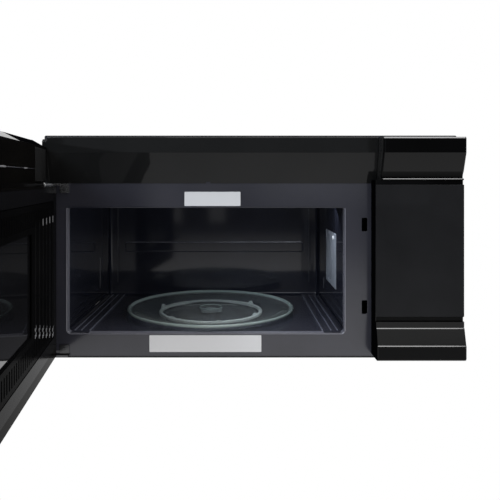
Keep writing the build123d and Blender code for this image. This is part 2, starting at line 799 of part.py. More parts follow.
# Vent blower: two scrolls beside one motor, blowing up into the exhaust adapter
collar_low = inside_top - collar_depth
blower_radius = (collar_low - blower_roof_gap - cavity_top - sheet - blower_foot) / 2
blower_z = cavity_top + sheet + blower_foot + blower_radius
wheel_radius = blower_radius - wheel_gap
motor_radius = blower_radius - motor_gap
motor_rail_z = blower_z - motor_radius - 2
scroll_inner = blower_motor_length / 2 + 1.0
with BuildPart() as blower_housing:
    for x0, x1 in ((-duct_width / 2, -scroll_inner), (scroll_inner, duct_width / 2)):
        for inset, mode in ((0.0, Mode.ADD), (1.2, Mode.SUBTRACT)):
            with BuildSketch(side_plane(x0 + inset)):
                with Locations((duct_middle, blower_z)):
                    Circle(blower_radius - inset)
                patch(
                    (duct_middle - duct_depth / 2 + inset, blower_z),
                    (duct_middle + duct_depth / 2 - inset, collar_low + inset),
                )
            extrude(amount=x1 - x0 - 2 * inset, mode=mode)
    rod(
        (-duct_width / 2 - 1, duct_middle, blower_z),
        (1, 0, 0),
        wheel_radius - 14,
        duct_width + 2,
        Mode.SUBTRACT,
    )
    for z0 in (blower_z - blower_radius - blower_foot, motor_rail_z):
        block(
            (-scroll_inner - 1.2, duct_middle - 20, z0), (scroll_inner + 1.2, duct_middle + 20, z0 + 1.2)
        )
blower_housing.part.label = "blower_housing"
export_step(blower_housing.part, "parts/blower_housing.step")

with BuildPart() as blower_motor:
    rod((-blower_motor_length / 2, duct_middle, blower_z), (1, 0, 0), motor_radius, blower_motor_length)
    chamfer(blower_motor.edges().filter_by(GeomType.CIRCLE), 6)
    block(
        (-20, duct_middle - 18, motor_rail_z + 1.2),
        (20, duct_middle + 18, motor_rail_z + 6),
    )
    rod(
        (-blower_motor_length / 2 - 1, duct_middle, blower_z),
        (1, 0, 0),
        blower_shaft / 2 + running_gap,
        blower_motor_length + 2,
        Mode.SUBTRACT,
    )
blower_motor.part.label = "blower_motor"
export_step(blower_motor.part, "parts/blower_motor.step")

wheel_x = (scroll_inner + duct_width / 2 - wheel_length) / 2
shaft_reach = wheel_x + wheel_length - 6
hub_half = 10.0
rim = 12.0
with BuildPart() as blower_wheels:
    for x0 in (wheel_x, -wheel_x - wheel_length):
        for x in (x0, x0 + wheel_length - 2):
            rod((x, duct_middle, blower_z), (1, 0, 0), wheel_radius, 2)
            rod((x - 1, duct_middle, blower_z), (1, 0, 0), wheel_radius - rim, 4, Mode.SUBTRACT)
        middle = x0 + wheel_length / 2
        rod((middle - 1, duct_middle, blower_z), (1, 0, 0), wheel_radius, 2)
        rod((middle - hub_half, duct_middle, blower_z), (1, 0, 0), hub_half, 2 * hub_half)
        with BuildSketch(side_plane(x0 + 1)):
            with Locations((duct_middle, blower_z)):
                with PolarLocations(wheel_radius - rim / 2, wheel_blades):
                    Rectangle(rim - 1, 1.2, rotation=25)
        extrude(amount=wheel_length - 2)
    rod((-shaft_reach, duct_middle, blower_z), (1, 0, 0), blower_shaft / 2, 2 * shaft_reach)
blower_wheels.part.label = "blower_wheels"
export_step(blower_wheels.part, "parts/blower_wheels.step")

# Exhaust adapter: collar seated in the top opening, with a flap on two stub pins
flap_y = duct_middle - duct_depth / 2 + 8
flap_z = inside_top - 4
flap_pin = 1.5
with BuildPart() as exhaust_adapter:
    with BuildSketch(level(collar_low)):
        with Locations((0, duct_middle)):
            Rectangle(duct_width - 0.4, duct_depth - 0.4)
            Rectangle(duct_width - 4, duct_depth - 4, mode=Mode.SUBTRACT)
    extrude(amount=body_height - collar_low)
    with BuildSketch(level(inside_top - 1.2)):
        with Locations((0, duct_middle)):
            Rectangle(duct_width + 16, duct_depth + 16)
            Rectangle(duct_width - 4, duct_depth - 4, mode=Mode.SUBTRACT)
    extrude(amount=1.2)
    rod(
        (-duct_width / 2 - 1, flap_y, flap_z),
        (1, 0, 0),
        flap_pin + running_gap,
        duct_width + 2,
        Mode.SUBTRACT,
    )
exhaust_adapter.part.label = "exhaust_adapter"
export_step(exhaust_adapter.part, "parts/exhaust_adapter.step")

with BuildPart() as damper_flap:
    block(
        (-duct_width / 2 + 3, flap_y - 4, flap_z - 1.9),
        (duct_width / 2 - 3, duct_middle + duct_depth / 2 - 3, flap_z - 1.1),
    )
    rod((-duct_width / 2 + 0.5, flap_y, flap_z), (1, 0, 0), flap_pin, duct_width - 1)
damper_flap.part.label = "damper_flap"
export_step(damper_flap.part, "parts/damper_flap.step")

# Top nuts for the cabinet bolts, and the gland where a supply cord leaves
with BuildPart() as top_nuts:
    for x in (-bolt_spread, bolt_spread):
        with BuildSketch(level(inside_top - 5)):
            with Locations((x, bolt_middle)):
                RegularPolygon(7, 6)
                Circle(3.2, mode=Mode.SUBTRACT)
        extrude(amount=5)
top_nuts.part.label = "top_nuts"
export_step(top_nuts.part, "parts/top_nuts.step")

with BuildPart() as cable_gland:
    for z0, radius, height in (
        (inside_top - 8, cable_hole / 2 + 3, 8 - nest_gap / 2),
        (inside_top - 1, cable_hole / 2 - nest_gap, sheet + 1.5),
    ):
        with Locations((*cable_place, z0)):
            Cylinder(radius, height, align=(Align.CENTER, Align.CENTER, Align.MIN))
    rod((*cable_place, inside_top - 9), (0, 0, 1), 5.0, 14, Mode.SUBTRACT)
cable_gland.part.label = "cable_gland"
export_step(cable_gland.part, "parts/cable_gland.step")

# Charcoal filter behind the vent window
charcoal_thick = 12.0
charcoal_border = 8.0
charcoal_cells = 12
cell_gap = 5.5
cell_depth = 4.0
charcoal_x0 = vent_places[0] + 10
charcoal_x1 = vent_places[-1] + vent_width - 20
cell_pitch = (charcoal_x1 - charcoal_x0 - 2 * charcoal_border + cell_gap) / charcoal_cells
with BuildPart() as charcoal_filter:
    block(
        (charcoal_x0, y_frame, vent_low - 6),
        (charcoal_x1, y_frame + charcoal_thick, vent_high + 4),
    )
    for index in range(charcoal_cells):
        x = charcoal_x0 + charcoal_border + index * cell_pitch
        for y in (y_frame - 1, y_frame + charcoal_thick - cell_depth):
            block(
                (x, y, vent_low),
                (x + cell_pitch - cell_gap, y + cell_depth + 1, vent_high - 2),
                Mode.SUBTRACT,
            )
charcoal_filter.part.label = "charcoal_filter"
export_step(charcoal_filter.part, "parts/charcoal_filter.step")

# Cavity lamp and its holder above the perforated patch
lamp_place = (lamp_hole_x + 16, y_frame + 72)
with BuildPart() as cavity_lamp:
    with Locations((*lamp_place, cavity_top + sheet)):
        Box(60, 44, 1.5, align=(Align.CENTER, Align.CENTER, Align.MIN))
        Box(44, 36, 4, align=(Align.CENTER, Align.CENTER, Align.MIN), mode=Mode.SUBTRACT)
    block(
        (lamp_place[0] + 22, lamp_place[1] - 10, cavity_top + sheet),
        (lamp_place[0] + 30, lamp_place[1] + 10, cavity_top + 30),
    )
    rod((lamp_place[0] + 22, lamp_place[1], cavity_top + 18), (-1, 0, 0), 9, 34)
    chamfer(cavity_lamp.edges().filter_by(GeomType.CIRCLE).group_by(Axis.X)[0], 4)
cavity_lamp.part.label = "cavity_lamp"
export_step(cavity_lamp.part, "parts/cavity_lamp.step")

# Turntable motor below the track recess, with its flat-sided drive shaft
motor_top = track_z - sheet
coupler_z = track_z + 1.0
shaft_top = coupler_z + 8.0
with BuildPart() as turntable_motor:
    rod((tray_x, tray_y, motor_top - 20), (0, 0, 1), 25, 20)
    with BuildSketch(level(motor_top - 1)):
        with Locations((tray_x, tray_y)):
            SlotOverall(72, 14)
    extrude(amount=1)
    rod(
        (tray_x, tray_y, motor_top - 20),
        (0, 0, 1),
        shaft_diameter / 2 + running_gap,
        20.1,
        Mode.SUBTRACT,
    )
    block((tray_x - 8, tray_y + 20, motor_top - 16), (tray_x + 8, tray_y + 32, motor_top - 4))
turntable_motor.part.label = "turntable_motor"
export_step(turntable_motor.part, "parts/turntable_motor.step")

# Drive coupler: shaft, hub and three wings under the glass
with BuildPart() as drive_coupler:
    rod((tray_x, tray_y, motor_top - 18), (0, 0, 1), shaft_diameter / 2, shaft_top - motor_top + 18)
    rod((tray_x, tray_y, coupler_z), (0, 0, 1), hub_radius * 0.44, tray_z - coupler_z)
    for angle in lug_angles:
        with BuildSketch(level(coupler_z + 4)):
            with Locations(Plane(origin=(tray_x, tray_y, 0)).rotated((0, 0, angle)).location):
                with Locations((hub_radius / 2, 0)):
                    SlotOverall(hub_radius, 9)
        extrude(amount=tray_z - coupler_z - 4)
drive_coupler.part.label = "drive_coupler"
export_step(drive_coupler.part, "parts/drive_coupler.step")

# Glass turntable: turned dish with a raised rim and a smaller foot
rim_z = tray_z + tray_rim_height
with BuildPart() as glass_turntable:
    with BuildSketch(Plane.XZ) as dish:
        with BuildLine():
            Polyline(
                (0, tray_z),
                (tray_foot_radius, tray_z),
                (tray_radius - 4, rim_z - tray_glass),
                (tray_radius - 0.8, rim_z - 0.7 * tray_glass),
                (tray_radius, rim_z - 0.4 * tray_glass),
                (tray_radius - 1.2, rim_z),
                (tray_radius - 4, rim_z),
                (tray_foot_radius + 6, tray_z + tray_glass),
                (0, tray_z + tray_glass),
                (0, tray_z),
            )
        make_face()
    revolve(axis=Axis.Z)
glass_turntable.part = glass_turntable.part.translate((tray_x, tray_y, 0))
glass_turntable.part.label = "glass_turntable"
export_step(glass_turntable.part, "parts/glass_turntable.step")

# Roller ring: moulded hoop with three axle stubs and three feet between them
with BuildPart() as roller_ring:
    with BuildSketch(level(roller_z - ring_height / 2)):
        with Locations((tray_x, tray_y)):
            Circle(ring_radius)
            Circle(ring_radius - ring_width, mode=Mode.SUBTRACT)
    extrude(amount=ring_height)
    for angle in roller_angles:
        direction = (cos(radians(angle)), sin(radians(angle)), 0)
        start = (
            tray_x + (ring_radius - 2) * direction[0],
            tray_y + (ring_radius - 2) * direction[1],
            roller_z,
        )
        rod(start, direction, roller_axle / 2, roller_width + 5)
    for angle in lug_angles:
        with BuildSketch(level(roller_z - ring_height / 2 + 1)):
            with Locations(Plane(origin=(tray_x, tray_y, 0)).rotated((0, 0, angle)).location):
                with Locations((ring_radius - ring_width - 3, 0)):
                    Rectangle(8, 12)
        extrude(amount=ring_height - 2)
roller_ring.part.label = "roller_ring"
export_step(roller_ring.part, "parts/roller_ring.step")

for index, angle in enumerate(roller_angles):
    name = f"roller_{index + 1}"
    direction = (cos(radians(angle)), sin(radians(angle)), 0)
    inner = roller_track - roller_width / 2
    start = (tray_x + inner * direction[0], tray_y + inner * direction[1], roller_z)
    with BuildPart() as roller:
        rod(start, direction, roller_diameter / 2, roller_width)
        rod(start, direction, roller_axle / 2 + running_gap, roller_width, Mode.SUBTRACT)
    roller.part.label = name
    export_step(roller.part, f"parts/{name}.step")

# Vent trim: hollow moulding across the front, leaning forward from its lower edge
trim_left = x_left + end_cap_width
trim_right = bulge_left - 0.4
y_trim = y_front - trim_reach
trim_notch = -78.0
louvre_count = 24
louvre_margin = 20.0
louvre_bar = 5.0
louvre_reach = 11.0
louvre_pitch = (trim_right - trim_left - 2 * louvre_margin) / louvre_count
with BuildPart() as vent_trim:
    for inset, mode in ((0.0, Mode.ADD), (trim_wall, Mode.SUBTRACT)):
        with BuildSketch(side_plane(trim_left + inset)):
            with BuildLine():
                Polyline(
                    (y_front, trim_low + inset),
                    (y_front - 1, trim_low + inset),
                    (y_trim + inset, trim_nose),
                    (y_trim + inset, trim_top - 2 - inset),
                    (y_trim + 2 + inset, trim_top - inset),
                    (y_front, trim_top - inset),
                    (y_front, trim_low + inset),
                )
            make_face()
        extrude(amount=trim_right - trim_left - 2 * inset, mode=mode)
    for index in range(louvre_count):
        x = trim_left + louvre_margin + index * louvre_pitch
        block(
            (x, y_front - louvre_reach, trim_top - 2 * trim_wall),
            (x + louvre_pitch - louvre_bar, y_front - 2 * trim_wall, trim_top + 1),
            Mode.SUBTRACT,
        )
    block(
        (trim_notch - 4, y_front - 3, trim_low - 1),
        (trim_notch + 4, y_front + 1, trim_low + 3),
        Mode.SUBTRACT,
    )
vent_trim.part.label = "vent_trim"
export_step(vent_trim.part, "parts/vent_trim.step")

with BuildPart() as trim_end_cap:
    with BuildSketch(side_plane(x_left)):
        with BuildLine():
            Polyline(
                (y_front, trim_low),
                (y_front - 1, trim_low),
                (y_trim + 2, trim_nose - 4),
                (y_trim + 2, end_cap_top - 4),
                (y_trim + 6, end_cap_top),
                (y_front, end_cap_top),
                (y_front, trim_low),
            )
        make_face()
    extrude(amount=end_cap_width)
trim_end_cap.part.label = "trim_end_cap"
export_step(trim_end_cap.part, "parts/trim_end_cap.step")

# Control housing: C-shaped moulding whose top bulge starts beside the trim's end
with BuildPart() as housing_hollow:
    with BuildSketch(side_plane(panel_left + moulding)):
        with BuildLine():
            fascia(moulding, panel_top, 0.0, y_front, y_front, panel_top)
        make_face()
    extrude(amount=panel_width - 2 * moulding)
    block(
        (panel_left, y_nose, glass_high + reveal - moulding),
        (bulge_left + moulding, y_front + 1, panel_top + 1),
        Mode.SUBTRACT,
    )
with BuildPart() as control_housing:
    with BuildSketch(side_plane(panel_left)):
        with BuildLine():
            fascia(0.0, panel_top, 0.0, y_front, y_front, panel_top)
        make_face()
    extrude(amount=panel_width)
    block(
        (panel_left - 1, y_nose - 1, glass_high + reveal),
        (bulge_left, y_front + 1, panel_top + 1),
        Mode.SUBTRACT,
    )
    add(housing_hollow.part, mode=Mode.SUBTRACT)
    block(
        (panel_left - 1, y_front - trim_reach, trim_low - 0.5),
        (bulge_left, y_front + 1, glass_high + reveal + 1),
        Mode.SUBTRACT,
    )
    for x in (panel_left + 22, x_right - 22):
        for z in (glass_low + 20, glass_high - 20):
            rod((x, y_seat + moulding - 0.5, z), (0, 1, 0), 3.5, 12.5)
control_housing.part.label = "control_housing"
export_step(control_housing.part, "parts/control_housing.step")

with BuildPart() as control_glass:
    block((panel_left, y_glass, glass_low), (x_right, y_seat, glass_high))
    chamfer(control_glass.edges().group_by(Axis.Y)[0], 0.6)
control_glass.part.label = "control_glass"
export_step(control_glass.part, "parts/control_glass.step")

board_y = y_seat + moulding + 12
with BuildPart() as control_board:
    block((panel_left + 14, board_y, glass_low + 10), (x_right - 14, board_y + 1.6, glass_high - 10))
    for x0, z0, width, height, rise in (
        (panel_left + 35, 120.0, 28.0, 30.0, 9.0),
        (panel_left + 75, 120.0, 22.0, 16.0, 8.0),
        (panel_left + 75, 146.0, 22.0, 16.0, 8.0),
        (panel_left + 105, 125.0, 14.0, 14.0, 7.0),
        (panel_left + 40, 190.0, 60.0, 12.0, 5.0),
    ):
        block((x0, board_y + 1.6, z0), (x0 + width, board_y + 1.6 + rise, z0 + height))
control_board.part.label = "control_board"
export_step(control_board.part, "parts/control_board.step")

# Latch bracket: channel behind the frame that takes the door's hooks, with two plunger bores
plunger_radius = 2.5
bracket_back = y_frame + 40
bracket_x0 = slot_x - 10
bracket_x1 = slot_x + 10
with BuildPart() as latch_bracket:
    block((bracket_x0, y_frame, slot_levels[0] - 28), (bracket_x1, bracket_back, slot_levels[1] + 28))
    block(
        (bracket_x0 + 2, y_frame - 1, slot_levels[0] - 26),
        (bracket_x1 - 2, bracket_back - 3, slot_levels[1] + 26),
        Mode.SUBTRACT,
    )
    block(
        (bracket_x0 + 1, y_frame, sum(slot_levels) / 2 - 1.5),
        (bracket_x1 - 1, bracket_back - 1, sum(slot_levels) / 2 + 1.5),
    )
    for z in slot_levels:
        rod((slot_x, bracket_back - 4, z), (0, 1, 0), plunger_radius + running_gap, 6, Mode.SUBTRACT)
latch_bracket.part.label = "latch_bracket"
export_step(latch_bracket.part, "parts/latch_bracket.step")

hook_end = y_front - door_air + hook_reach
plunger_gap = 0.6
with BuildPart() as interlock_switches:
    for z in slot_levels:
        block((slot_x - 8, bracket_back, z - 12), (slot_x + 8, bracket_back + 16, z + 12))
        rod((slot_x, bracket_back - 1, z), (0, 1, 0), plunger_radius + running_gap, 9, Mode.SUBTRACT)
interlock_switches.part.label = "interlock_switches"
export_step(interlock_switches.part, "parts/interlock_switches.step")

for name, z in (("lower_plunger", slot_levels[0]), ("upper_plunger", slot_levels[1])):
    tip = (slot_x, hook_end + plunger_gap, z)
    with BuildPart() as plunger:
        rod(tip, (0, 1, 0), 4, 2)
        rod(tip, (0, 1, 0), plunger_radius, bracket_back + 5 - tip[1])
    plunger.part.label = name
    export_step(plunger.part, f"parts/{name}.step")

# Door hinges: leaf on the frame, arm reaching forward and a pin into the door
leaf_x = hinge_x + 22
leaf_width = 17.0
top_arm_z = shoulder_z + 1.2
bottom_arm_z = panel_bottom - 1.2 - hinge_sheet
for name, arm_z, leaf_low, leaf_high, pin_low, pin_high in (
    ("hinge_top", top_arm_z, top_arm_z - 14, top_arm_z + 1, top_arm_z - 19, top_arm_z + 1),
    ("hinge_bottom", bottom_arm_z, bottom_arm_z, 24.0, bottom_arm_z + 1, panel_bottom + 16),
):
    with BuildPart() as hinge:
        with BuildSketch(level(arm_z)):
            with Locations((hinge_x, hinge_y)):
                Circle(hinge_arm / 2)
            patch((hinge_x - hinge_arm / 2, hinge_y), (hinge_x + hinge_arm / 2, y_front))
            patch((hinge_x, y_front - 8), (leaf_x + leaf_width, y_front))
        extrude(amount=hinge_sheet)
        block((leaf_x, y_front - 1.5, leaf_low), (leaf_x + leaf_width, y_front, leaf_high))
        rod((hinge_x, hinge_y, pin_low), (0, 0, 1), hinge_pin / 2, pin_high - pin_low)
    hinge.part.label = name
    export_step(hinge.part, f"parts/{name}.step")

# Door skin: C-shaped moulding, glazed in front, open behind for the choke frame
screw_way = handle_screw / 2 + nest_gap
pin_way = hinge_pin / 2 + running_gap
window_x0 = choke_left + 60
window_x1 = choke_right - 50
boss_x1 = hinge_x + 17
boss_y0 = y_seat + skin_wall - 0.5
with BuildPart() as skin_hollow:
    with BuildSketch(side_plane(x_left + skin_wall)):
        with BuildLine():
            fascia(
                skin_wall,
                door_top,
                door_top_fall,
                y_skin - skin_wall,
                y_shoulder - skin_wall,
                shoulder_z,
            )
        make_face()
    extrude(amount=door_right - x_left - 2 * skin_wall)
with BuildPart() as door_skin:
    with BuildSketch(side_plane(x_left)):
        with BuildLine():
            fascia(0.0, door_top, door_top_fall, y_skin, y_shoulder, shoulder_z)
        make_face()
    extrude(amount=door_bulge_right - x_left)
    block(
        (door_right, y_nose - 1, 0),
        (door_bulge_right + 1, y_front, glass_high + reveal),
        Mode.SUBTRACT,
    )
    add(skin_hollow.part, mode=Mode.SUBTRACT)
    block(
        (choke_left + 5, y_skin - skin_wall - 1, choke_bottom + 5),
        (choke_right - 5, y_skin + 1, choke_top - 5),
        Mode.SUBTRACT,
    )
    block(
        (window_x0, y_seat - 1, glass_low + 18),
        (window_x1, y_seat + skin_wall + 1, glass_high - 18),
        Mode.SUBTRACT,
    )
    for z in slot_levels:
        block(
            (slot_x - 5, y_skin - skin_wall - 1, z - 12),
            (slot_x + 5, y_skin + 1, z + 12),
            Mode.SUBTRACT,
        )
    block(
        (x_left + skin_wall - 0.5, boss_y0, shoulder_z - 22),
        (boss_x1, y_skin - skin_wall + 0.5, shoulder_z - skin_wall + 0.5),
    )
    block(
        (x_left + skin_wall - 0.5, boss_y0, panel_bottom + skin_wall - 0.5),
        (boss_x1, y_skin - skin_wall + 0.5, panel_bottom + 20),
    )
    block(
        (x_left - 1, y_seat + skin_wall, shoulder_z),
        (hinge_x + hinge_arm / 2 + 5, y_skin + 1, shoulder_z + 6),
        Mode.SUBTRACT,
    )
    rod((hinge_x, hinge_y, shoulder_z - 20), (0, 0, 1), hinge_bush / 2, 22, Mode.SUBTRACT)
    rod((hinge_x, hinge_y, panel_bottom - 1), (0, 0, 1), hinge_bush / 2, 20, Mode.SUBTRACT)
    for z in post_levels:
        rod((handle_x, y_seat + skin_wall + 1, z), (0, -1, 0), screw_way, 4, Mode.SUBTRACT)
door_skin.part = swing_open(door_skin.part)
door_skin.part.label = "door_skin"
export_step(door_skin.part, "parts/door_skin.step")

with BuildPart() as hinge_bushes:
    for z0, height in ((shoulder_z - 20, 20), (panel_bottom, 19)):
        rod((hinge_x, hinge_y, z0), (0, 0, 1), hinge_bush / 2, height)
        rod((hinge_x, hinge_y, z0 - 1), (0, 0, 1), pin_way, height + 2, Mode.SUBTRACT)
hinge_bushes.part = swing_open(hinge_bushes.part)
hinge_bushes.part.label = "hinge_bushes"
export_step(hinge_bushes.part, "parts/hinge_bushes.step")

with BuildPart() as door_glass:
    block((x_left, y_glass, glass_low), (door_right, y_seat, glass_high))
    chamfer(door_glass.edges().group_by(Axis.Y)[0], 0.6)
    for z in post_levels:
        rod((handle_x, y_seat + 1, z), (0, -1, 0), screw_way, glass_sheet + 2, Mode.SUBTRACT)
door_glass.part = swing_open(door_glass.part)
door_glass.part.label = "door_glass"
export_step(door_glass.part, "parts/door_glass.step")


def ring_block(outer, inner, y0, y1):
    """Rectangular ring round the choke frame's middle, between two insets and two depths."""
    with BuildPart(mode=Mode.PRIVATE) as ring:
        with BuildSketch(front_plane(y1)):
            patch(
                (choke_left + outer, choke_bottom + outer),
                (choke_right - outer, choke_top - outer),
            )
            if inner:
                patch(
                    (choke_left + inner, choke_bottom + inner),
                    (choke_right - inner, choke_top - inner),
                    mode=Mode.SUBTRACT,
                )
        extrude(amount=y1 - y0)
    return ring.part


# Choke frame: pressed steel pan with a flat border, a deep channel and the window screen
y_channel = y_choke - choke_depth
channel_in = strip_width + choke_ring - 6
y_screen = y_choke - 8.2
choke_rings = [
    ring_block(0, strip_width, y_skin, y_choke),
    ring_block(strip_width - choke_sheet, strip_width, y_channel, y_choke),
    ring_block(strip_width - choke_sheet, channel_in, y_channel - choke_sheet, y_channel),
    ring_block(channel_in - choke_sheet, channel_in, y_channel - choke_sheet, y_screen),
    ring_block(channel_in - choke_sheet, 0, y_screen - choke_sheet, y_screen),
]
with BuildPart() as choke_frame:
    for ring in choke_rings:
        add(ring)
choke_frame.part = swing_open(choke_frame.part)
choke_frame.part.label = "choke_frame"
export_step(choke_frame.part, "parts/choke_frame.step")

# Choke cover: moulded ring over the channel, ribbed at its sides, combed above and below
cover_out = strip_width + 1.0
cover_in = strip_width + choke_ring
comb_pitch = 12.0
comb_slot = 5.0
rib_pitch = 7.0
rib_rise = 0.5
y_cover = y_choke - 0.6
cover_rings = [
    ring_block(cover_out, cover_in, y_cover - 1.6, y_cover),
    ring_block(cover_out, cover_out + 1.5, y_channel, y_cover - 1),
    ring_block(cover_in - 2, cover_in, y_screen, y_cover - 1),
]
comb_count = int((choke_right - choke_left - 2 * cover_in) // comb_pitch)
comb_start = (choke_left + choke_right - comb_count * comb_pitch) / 2
rib_count = int((choke_ring - 10) // rib_pitch)
with BuildPart() as choke_cover:
    for ring in cover_rings:
        add(ring)
    with BuildSketch(front_plane(y_cover + 1)):
        for index in range(comb_count):
            x = comb_start + index * comb_pitch
            for z in (choke_bottom + cover_out + 8, choke_top - cover_in + 8):
                patch((x, z), (x + comb_slot, z + choke_ring - 18))
    extrude(amount=4, mode=Mode.SUBTRACT)
    with BuildSketch(front_plane(y_cover + rib_rise)):
        for index in range(rib_count):
            for x in (
                choke_left + cover_out + 6 + index * rib_pitch,
                choke_right - cover_out - 6 - 2.5 - index * rib_pitch,
            ):
                patch((x, choke_bottom + cover_out + 14), (x + 2.5, choke_top - cover_out - 14))
    extrude(amount=rib_rise + 0.5)
choke_cover.part = swing_open(choke_cover.part)
choke_cover.part.label = "choke_cover"
export_step(choke_cover.part, "parts/choke_cover.step")

pane_in = cover_in + 0.3
with BuildPart() as inner_pane:
    add(ring_block(pane_in, 0, y_screen, y_screen + 4))
inner_pane.part = swing_open(inner_pane.part)
inner_pane.part.label = "inner_pane"
export_step(inner_pane.part, "parts/inner_pane.step")

# Latch bar: upright slide in the door's free edge, with two hooks through the skin
bar_y1 = y_skin - skin_wall - 0.3
bar_low = slot_levels[0] - 18
bar_high = slot_levels[1] + 18
with BuildPart() as latch_bar:
    block((slot_x - 4, bar_y1 - 12, bar_low), (slot_x + 4, bar_y1, bar_high))
    for z in slot_levels:
        with BuildSketch(side_plane(slot_x - hook_width / 2)):
            with BuildLine():
                Polyline(
                    (bar_y1 - 1, z - 6),
                    (hook_end - 9, z - 6),
                    (hook_end - 9, z - 11),
                    (hook_end - 5, z - 11),
                    (hook_end, z - 4),
                    (hook_end, z + 4),
                    (bar_y1 - 1, z + 4),
                    (bar_y1 - 1, z - 6),
                )
            make_face()
        extrude(amount=hook_width)
latch_bar.part = swing_open(latch_bar.part)
latch_bar.part.label = "latch_bar"
export_step(latch_bar.part, "parts/latch_bar.step")

# Latch guides: two moulded cheeks that hold the bar between the skin's walls
guide_half = 5.5
guide_leg = 40.0
with BuildPart() as latch_guide:
    block(
        (slot_x - guide_half, bar_y1 - 14, bar_low + 20),
        (slot_x + guide_half, bar_y1 - 12.3, bar_high - 20),
    )
    for z in (bar_low + guide_leg, bar_high - guide_leg - 4):
        block((slot_x - guide_half, y_seat + skin_wall, z), (slot_x + guide_half, bar_y1 - 13, z + 4))
latch_guide.part = swing_open(latch_guide.part)
latch_guide.part.label = "latch_guide"
export_step(latch_guide.part, "parts/latch_guide.step")

# Door handle: upright bar on two posts, each held by a screw from inside the skin
with BuildPart() as handle_bar:
    with BuildSketch(level(handle_low)):
        patch(
            (handle_x - handle_width / 2, handle_y1 - handle_thick),
            (handle_x + handle_width / 2, handle_y1),
            5,
        )
    extrude(amount=handle_length)
    chamfer(handle_bar.faces().sort_by(Axis.Z)[0].edges(), 2)
    chamfer(handle_bar.faces().sort_by(Axis.Z)[-1].edges(), 2)
    for z in post_levels:
        rod((handle_x, handle_y1 + 1, z), (0, -1, 0), screw_way, 9, Mode.SUBTRACT)
handle_bar.part = swing_open(handle_bar.part)
handle_bar.part.label = "handle_bar"
export_step(handle_bar.part, "parts/handle_bar.step")

with BuildPart() as handle_posts:
    with BuildSketch(front_plane(y_glass)):
        for z in post_levels:
            with Locations((handle_x, z)):
                RectangleRounded(post_side, post_side + 6, 4)
                Circle(screw_way, mode=Mode.SUBTRACT)
    extrude(amount=handle_stand)
handle_posts.part = swing_open(handle_posts.part)
handle_posts.part.label = "handle_posts"
export_step(handle_posts.part, "parts/handle_posts.step")

screw_length = handle_stand + glass_sheet + skin_wall + 6
with BuildPart() as handle_screws:
    for z in post_levels:
        rod((handle_x, y_seat + skin_wall, z), (0, 1, 0), 4.5, 2.5)
        rod((handle_x, y_seat + skin_wall + 0.1, z), (0, -1, 0), handle_screw / 2, screw_length)
handle_screws.part = swing_open(handle_screws.part)
handle_screws.part.label = "handle_screws"
export_step(handle_screws.part, "parts/handle_screws.step")
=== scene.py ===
from math import cos, pi, radians, sin

import bmesh
import bpy
from mathutils import Matrix, Vector


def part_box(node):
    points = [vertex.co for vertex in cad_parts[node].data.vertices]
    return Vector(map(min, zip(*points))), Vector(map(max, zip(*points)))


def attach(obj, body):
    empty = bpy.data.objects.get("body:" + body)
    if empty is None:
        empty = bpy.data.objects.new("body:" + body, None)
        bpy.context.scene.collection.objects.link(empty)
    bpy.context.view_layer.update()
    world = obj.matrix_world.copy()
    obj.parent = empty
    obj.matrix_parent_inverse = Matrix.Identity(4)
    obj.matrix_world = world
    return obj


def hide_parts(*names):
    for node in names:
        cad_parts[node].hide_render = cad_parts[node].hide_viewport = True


# Looks of an over-the-range microwave oven whose door stands open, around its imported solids.
# Metres; +X is the viewer's right, +Y runs to the wall, +Z is up, z = 0 is the flat base.

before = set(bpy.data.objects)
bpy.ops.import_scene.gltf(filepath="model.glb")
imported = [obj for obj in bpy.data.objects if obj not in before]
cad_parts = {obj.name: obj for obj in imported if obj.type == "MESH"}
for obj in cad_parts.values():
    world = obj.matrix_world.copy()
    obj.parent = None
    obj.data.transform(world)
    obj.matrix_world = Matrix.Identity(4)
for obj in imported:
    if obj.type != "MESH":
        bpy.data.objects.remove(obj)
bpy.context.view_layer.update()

# Camera: as far from the front frame as the photograph's, level, framed by its shift
CAMERA_PLACE = (-0.025, -1.280, 0.329)
CAMERA_LENS, SENSOR_WIDTH, NEAR_CLIP = 42.6, 36.0, 0.01
CAMERA_SHIFT = (0.026, -0.142)

# Cabinet
X_LEFT, X_RIGHT = -0.3795, 0.3795
Y_FRONT, Y_FRAME = -0.190, -0.1888
SHEET, SHEET_EDGE = 0.0012, 0.0003
INSIDE = 0.3783
FRAME_LOW, FRAME_HIGH = 0.003, 0.4078
AIR_OPENINGS, AIR_WIDTH, AIR_Z = (-0.330, -0.145, 0.040), 0.170, (0.333, 0.394)
PANEL_BORDER = 0.030
OPENING_ROUND = 0.006

# Cavity
CAVITY_X = (-0.3374, 0.1729)
CAVITY_Z = (0.045, 0.276)
CAVITY_BACK = 0.1762
CAVITY_ROUND, CAVITY_TOP_ROUND, BACK_ROUND = 0.006, 0.0025, 0.007
CORNER_STEPS = 10
RIM, RIM_LAP, RIM_DEPTH = 0.0024, 0.0004, 0.014
LEDGE_LEFT, LEDGE_RIGHT, LEDGE_RISE = 0.037, 0.035, 0.002
FLOOR_X = (CAVITY_X[0] + CAVITY_ROUND, CAVITY_X[1] - CAVITY_ROUND)
FLOOR_Y = (Y_FRAME, CAVITY_BACK - BACK_ROUND)
RECESS_RADIUS, RECESS_BEND, RECESS_FOOT = 0.126, 0.003, 0.0025
TRACK_Z, TRACK_STEP = 0.035, 0.0012
BAND_X, BAND_Z, BAND_LIT_Z = (-0.3004, 0.1379), (0.1495, 0.1745), 0.171
BAND_ROUND, BAND_RISE, BAND_SLOPE = 0.006, 0.0008, 0.0016

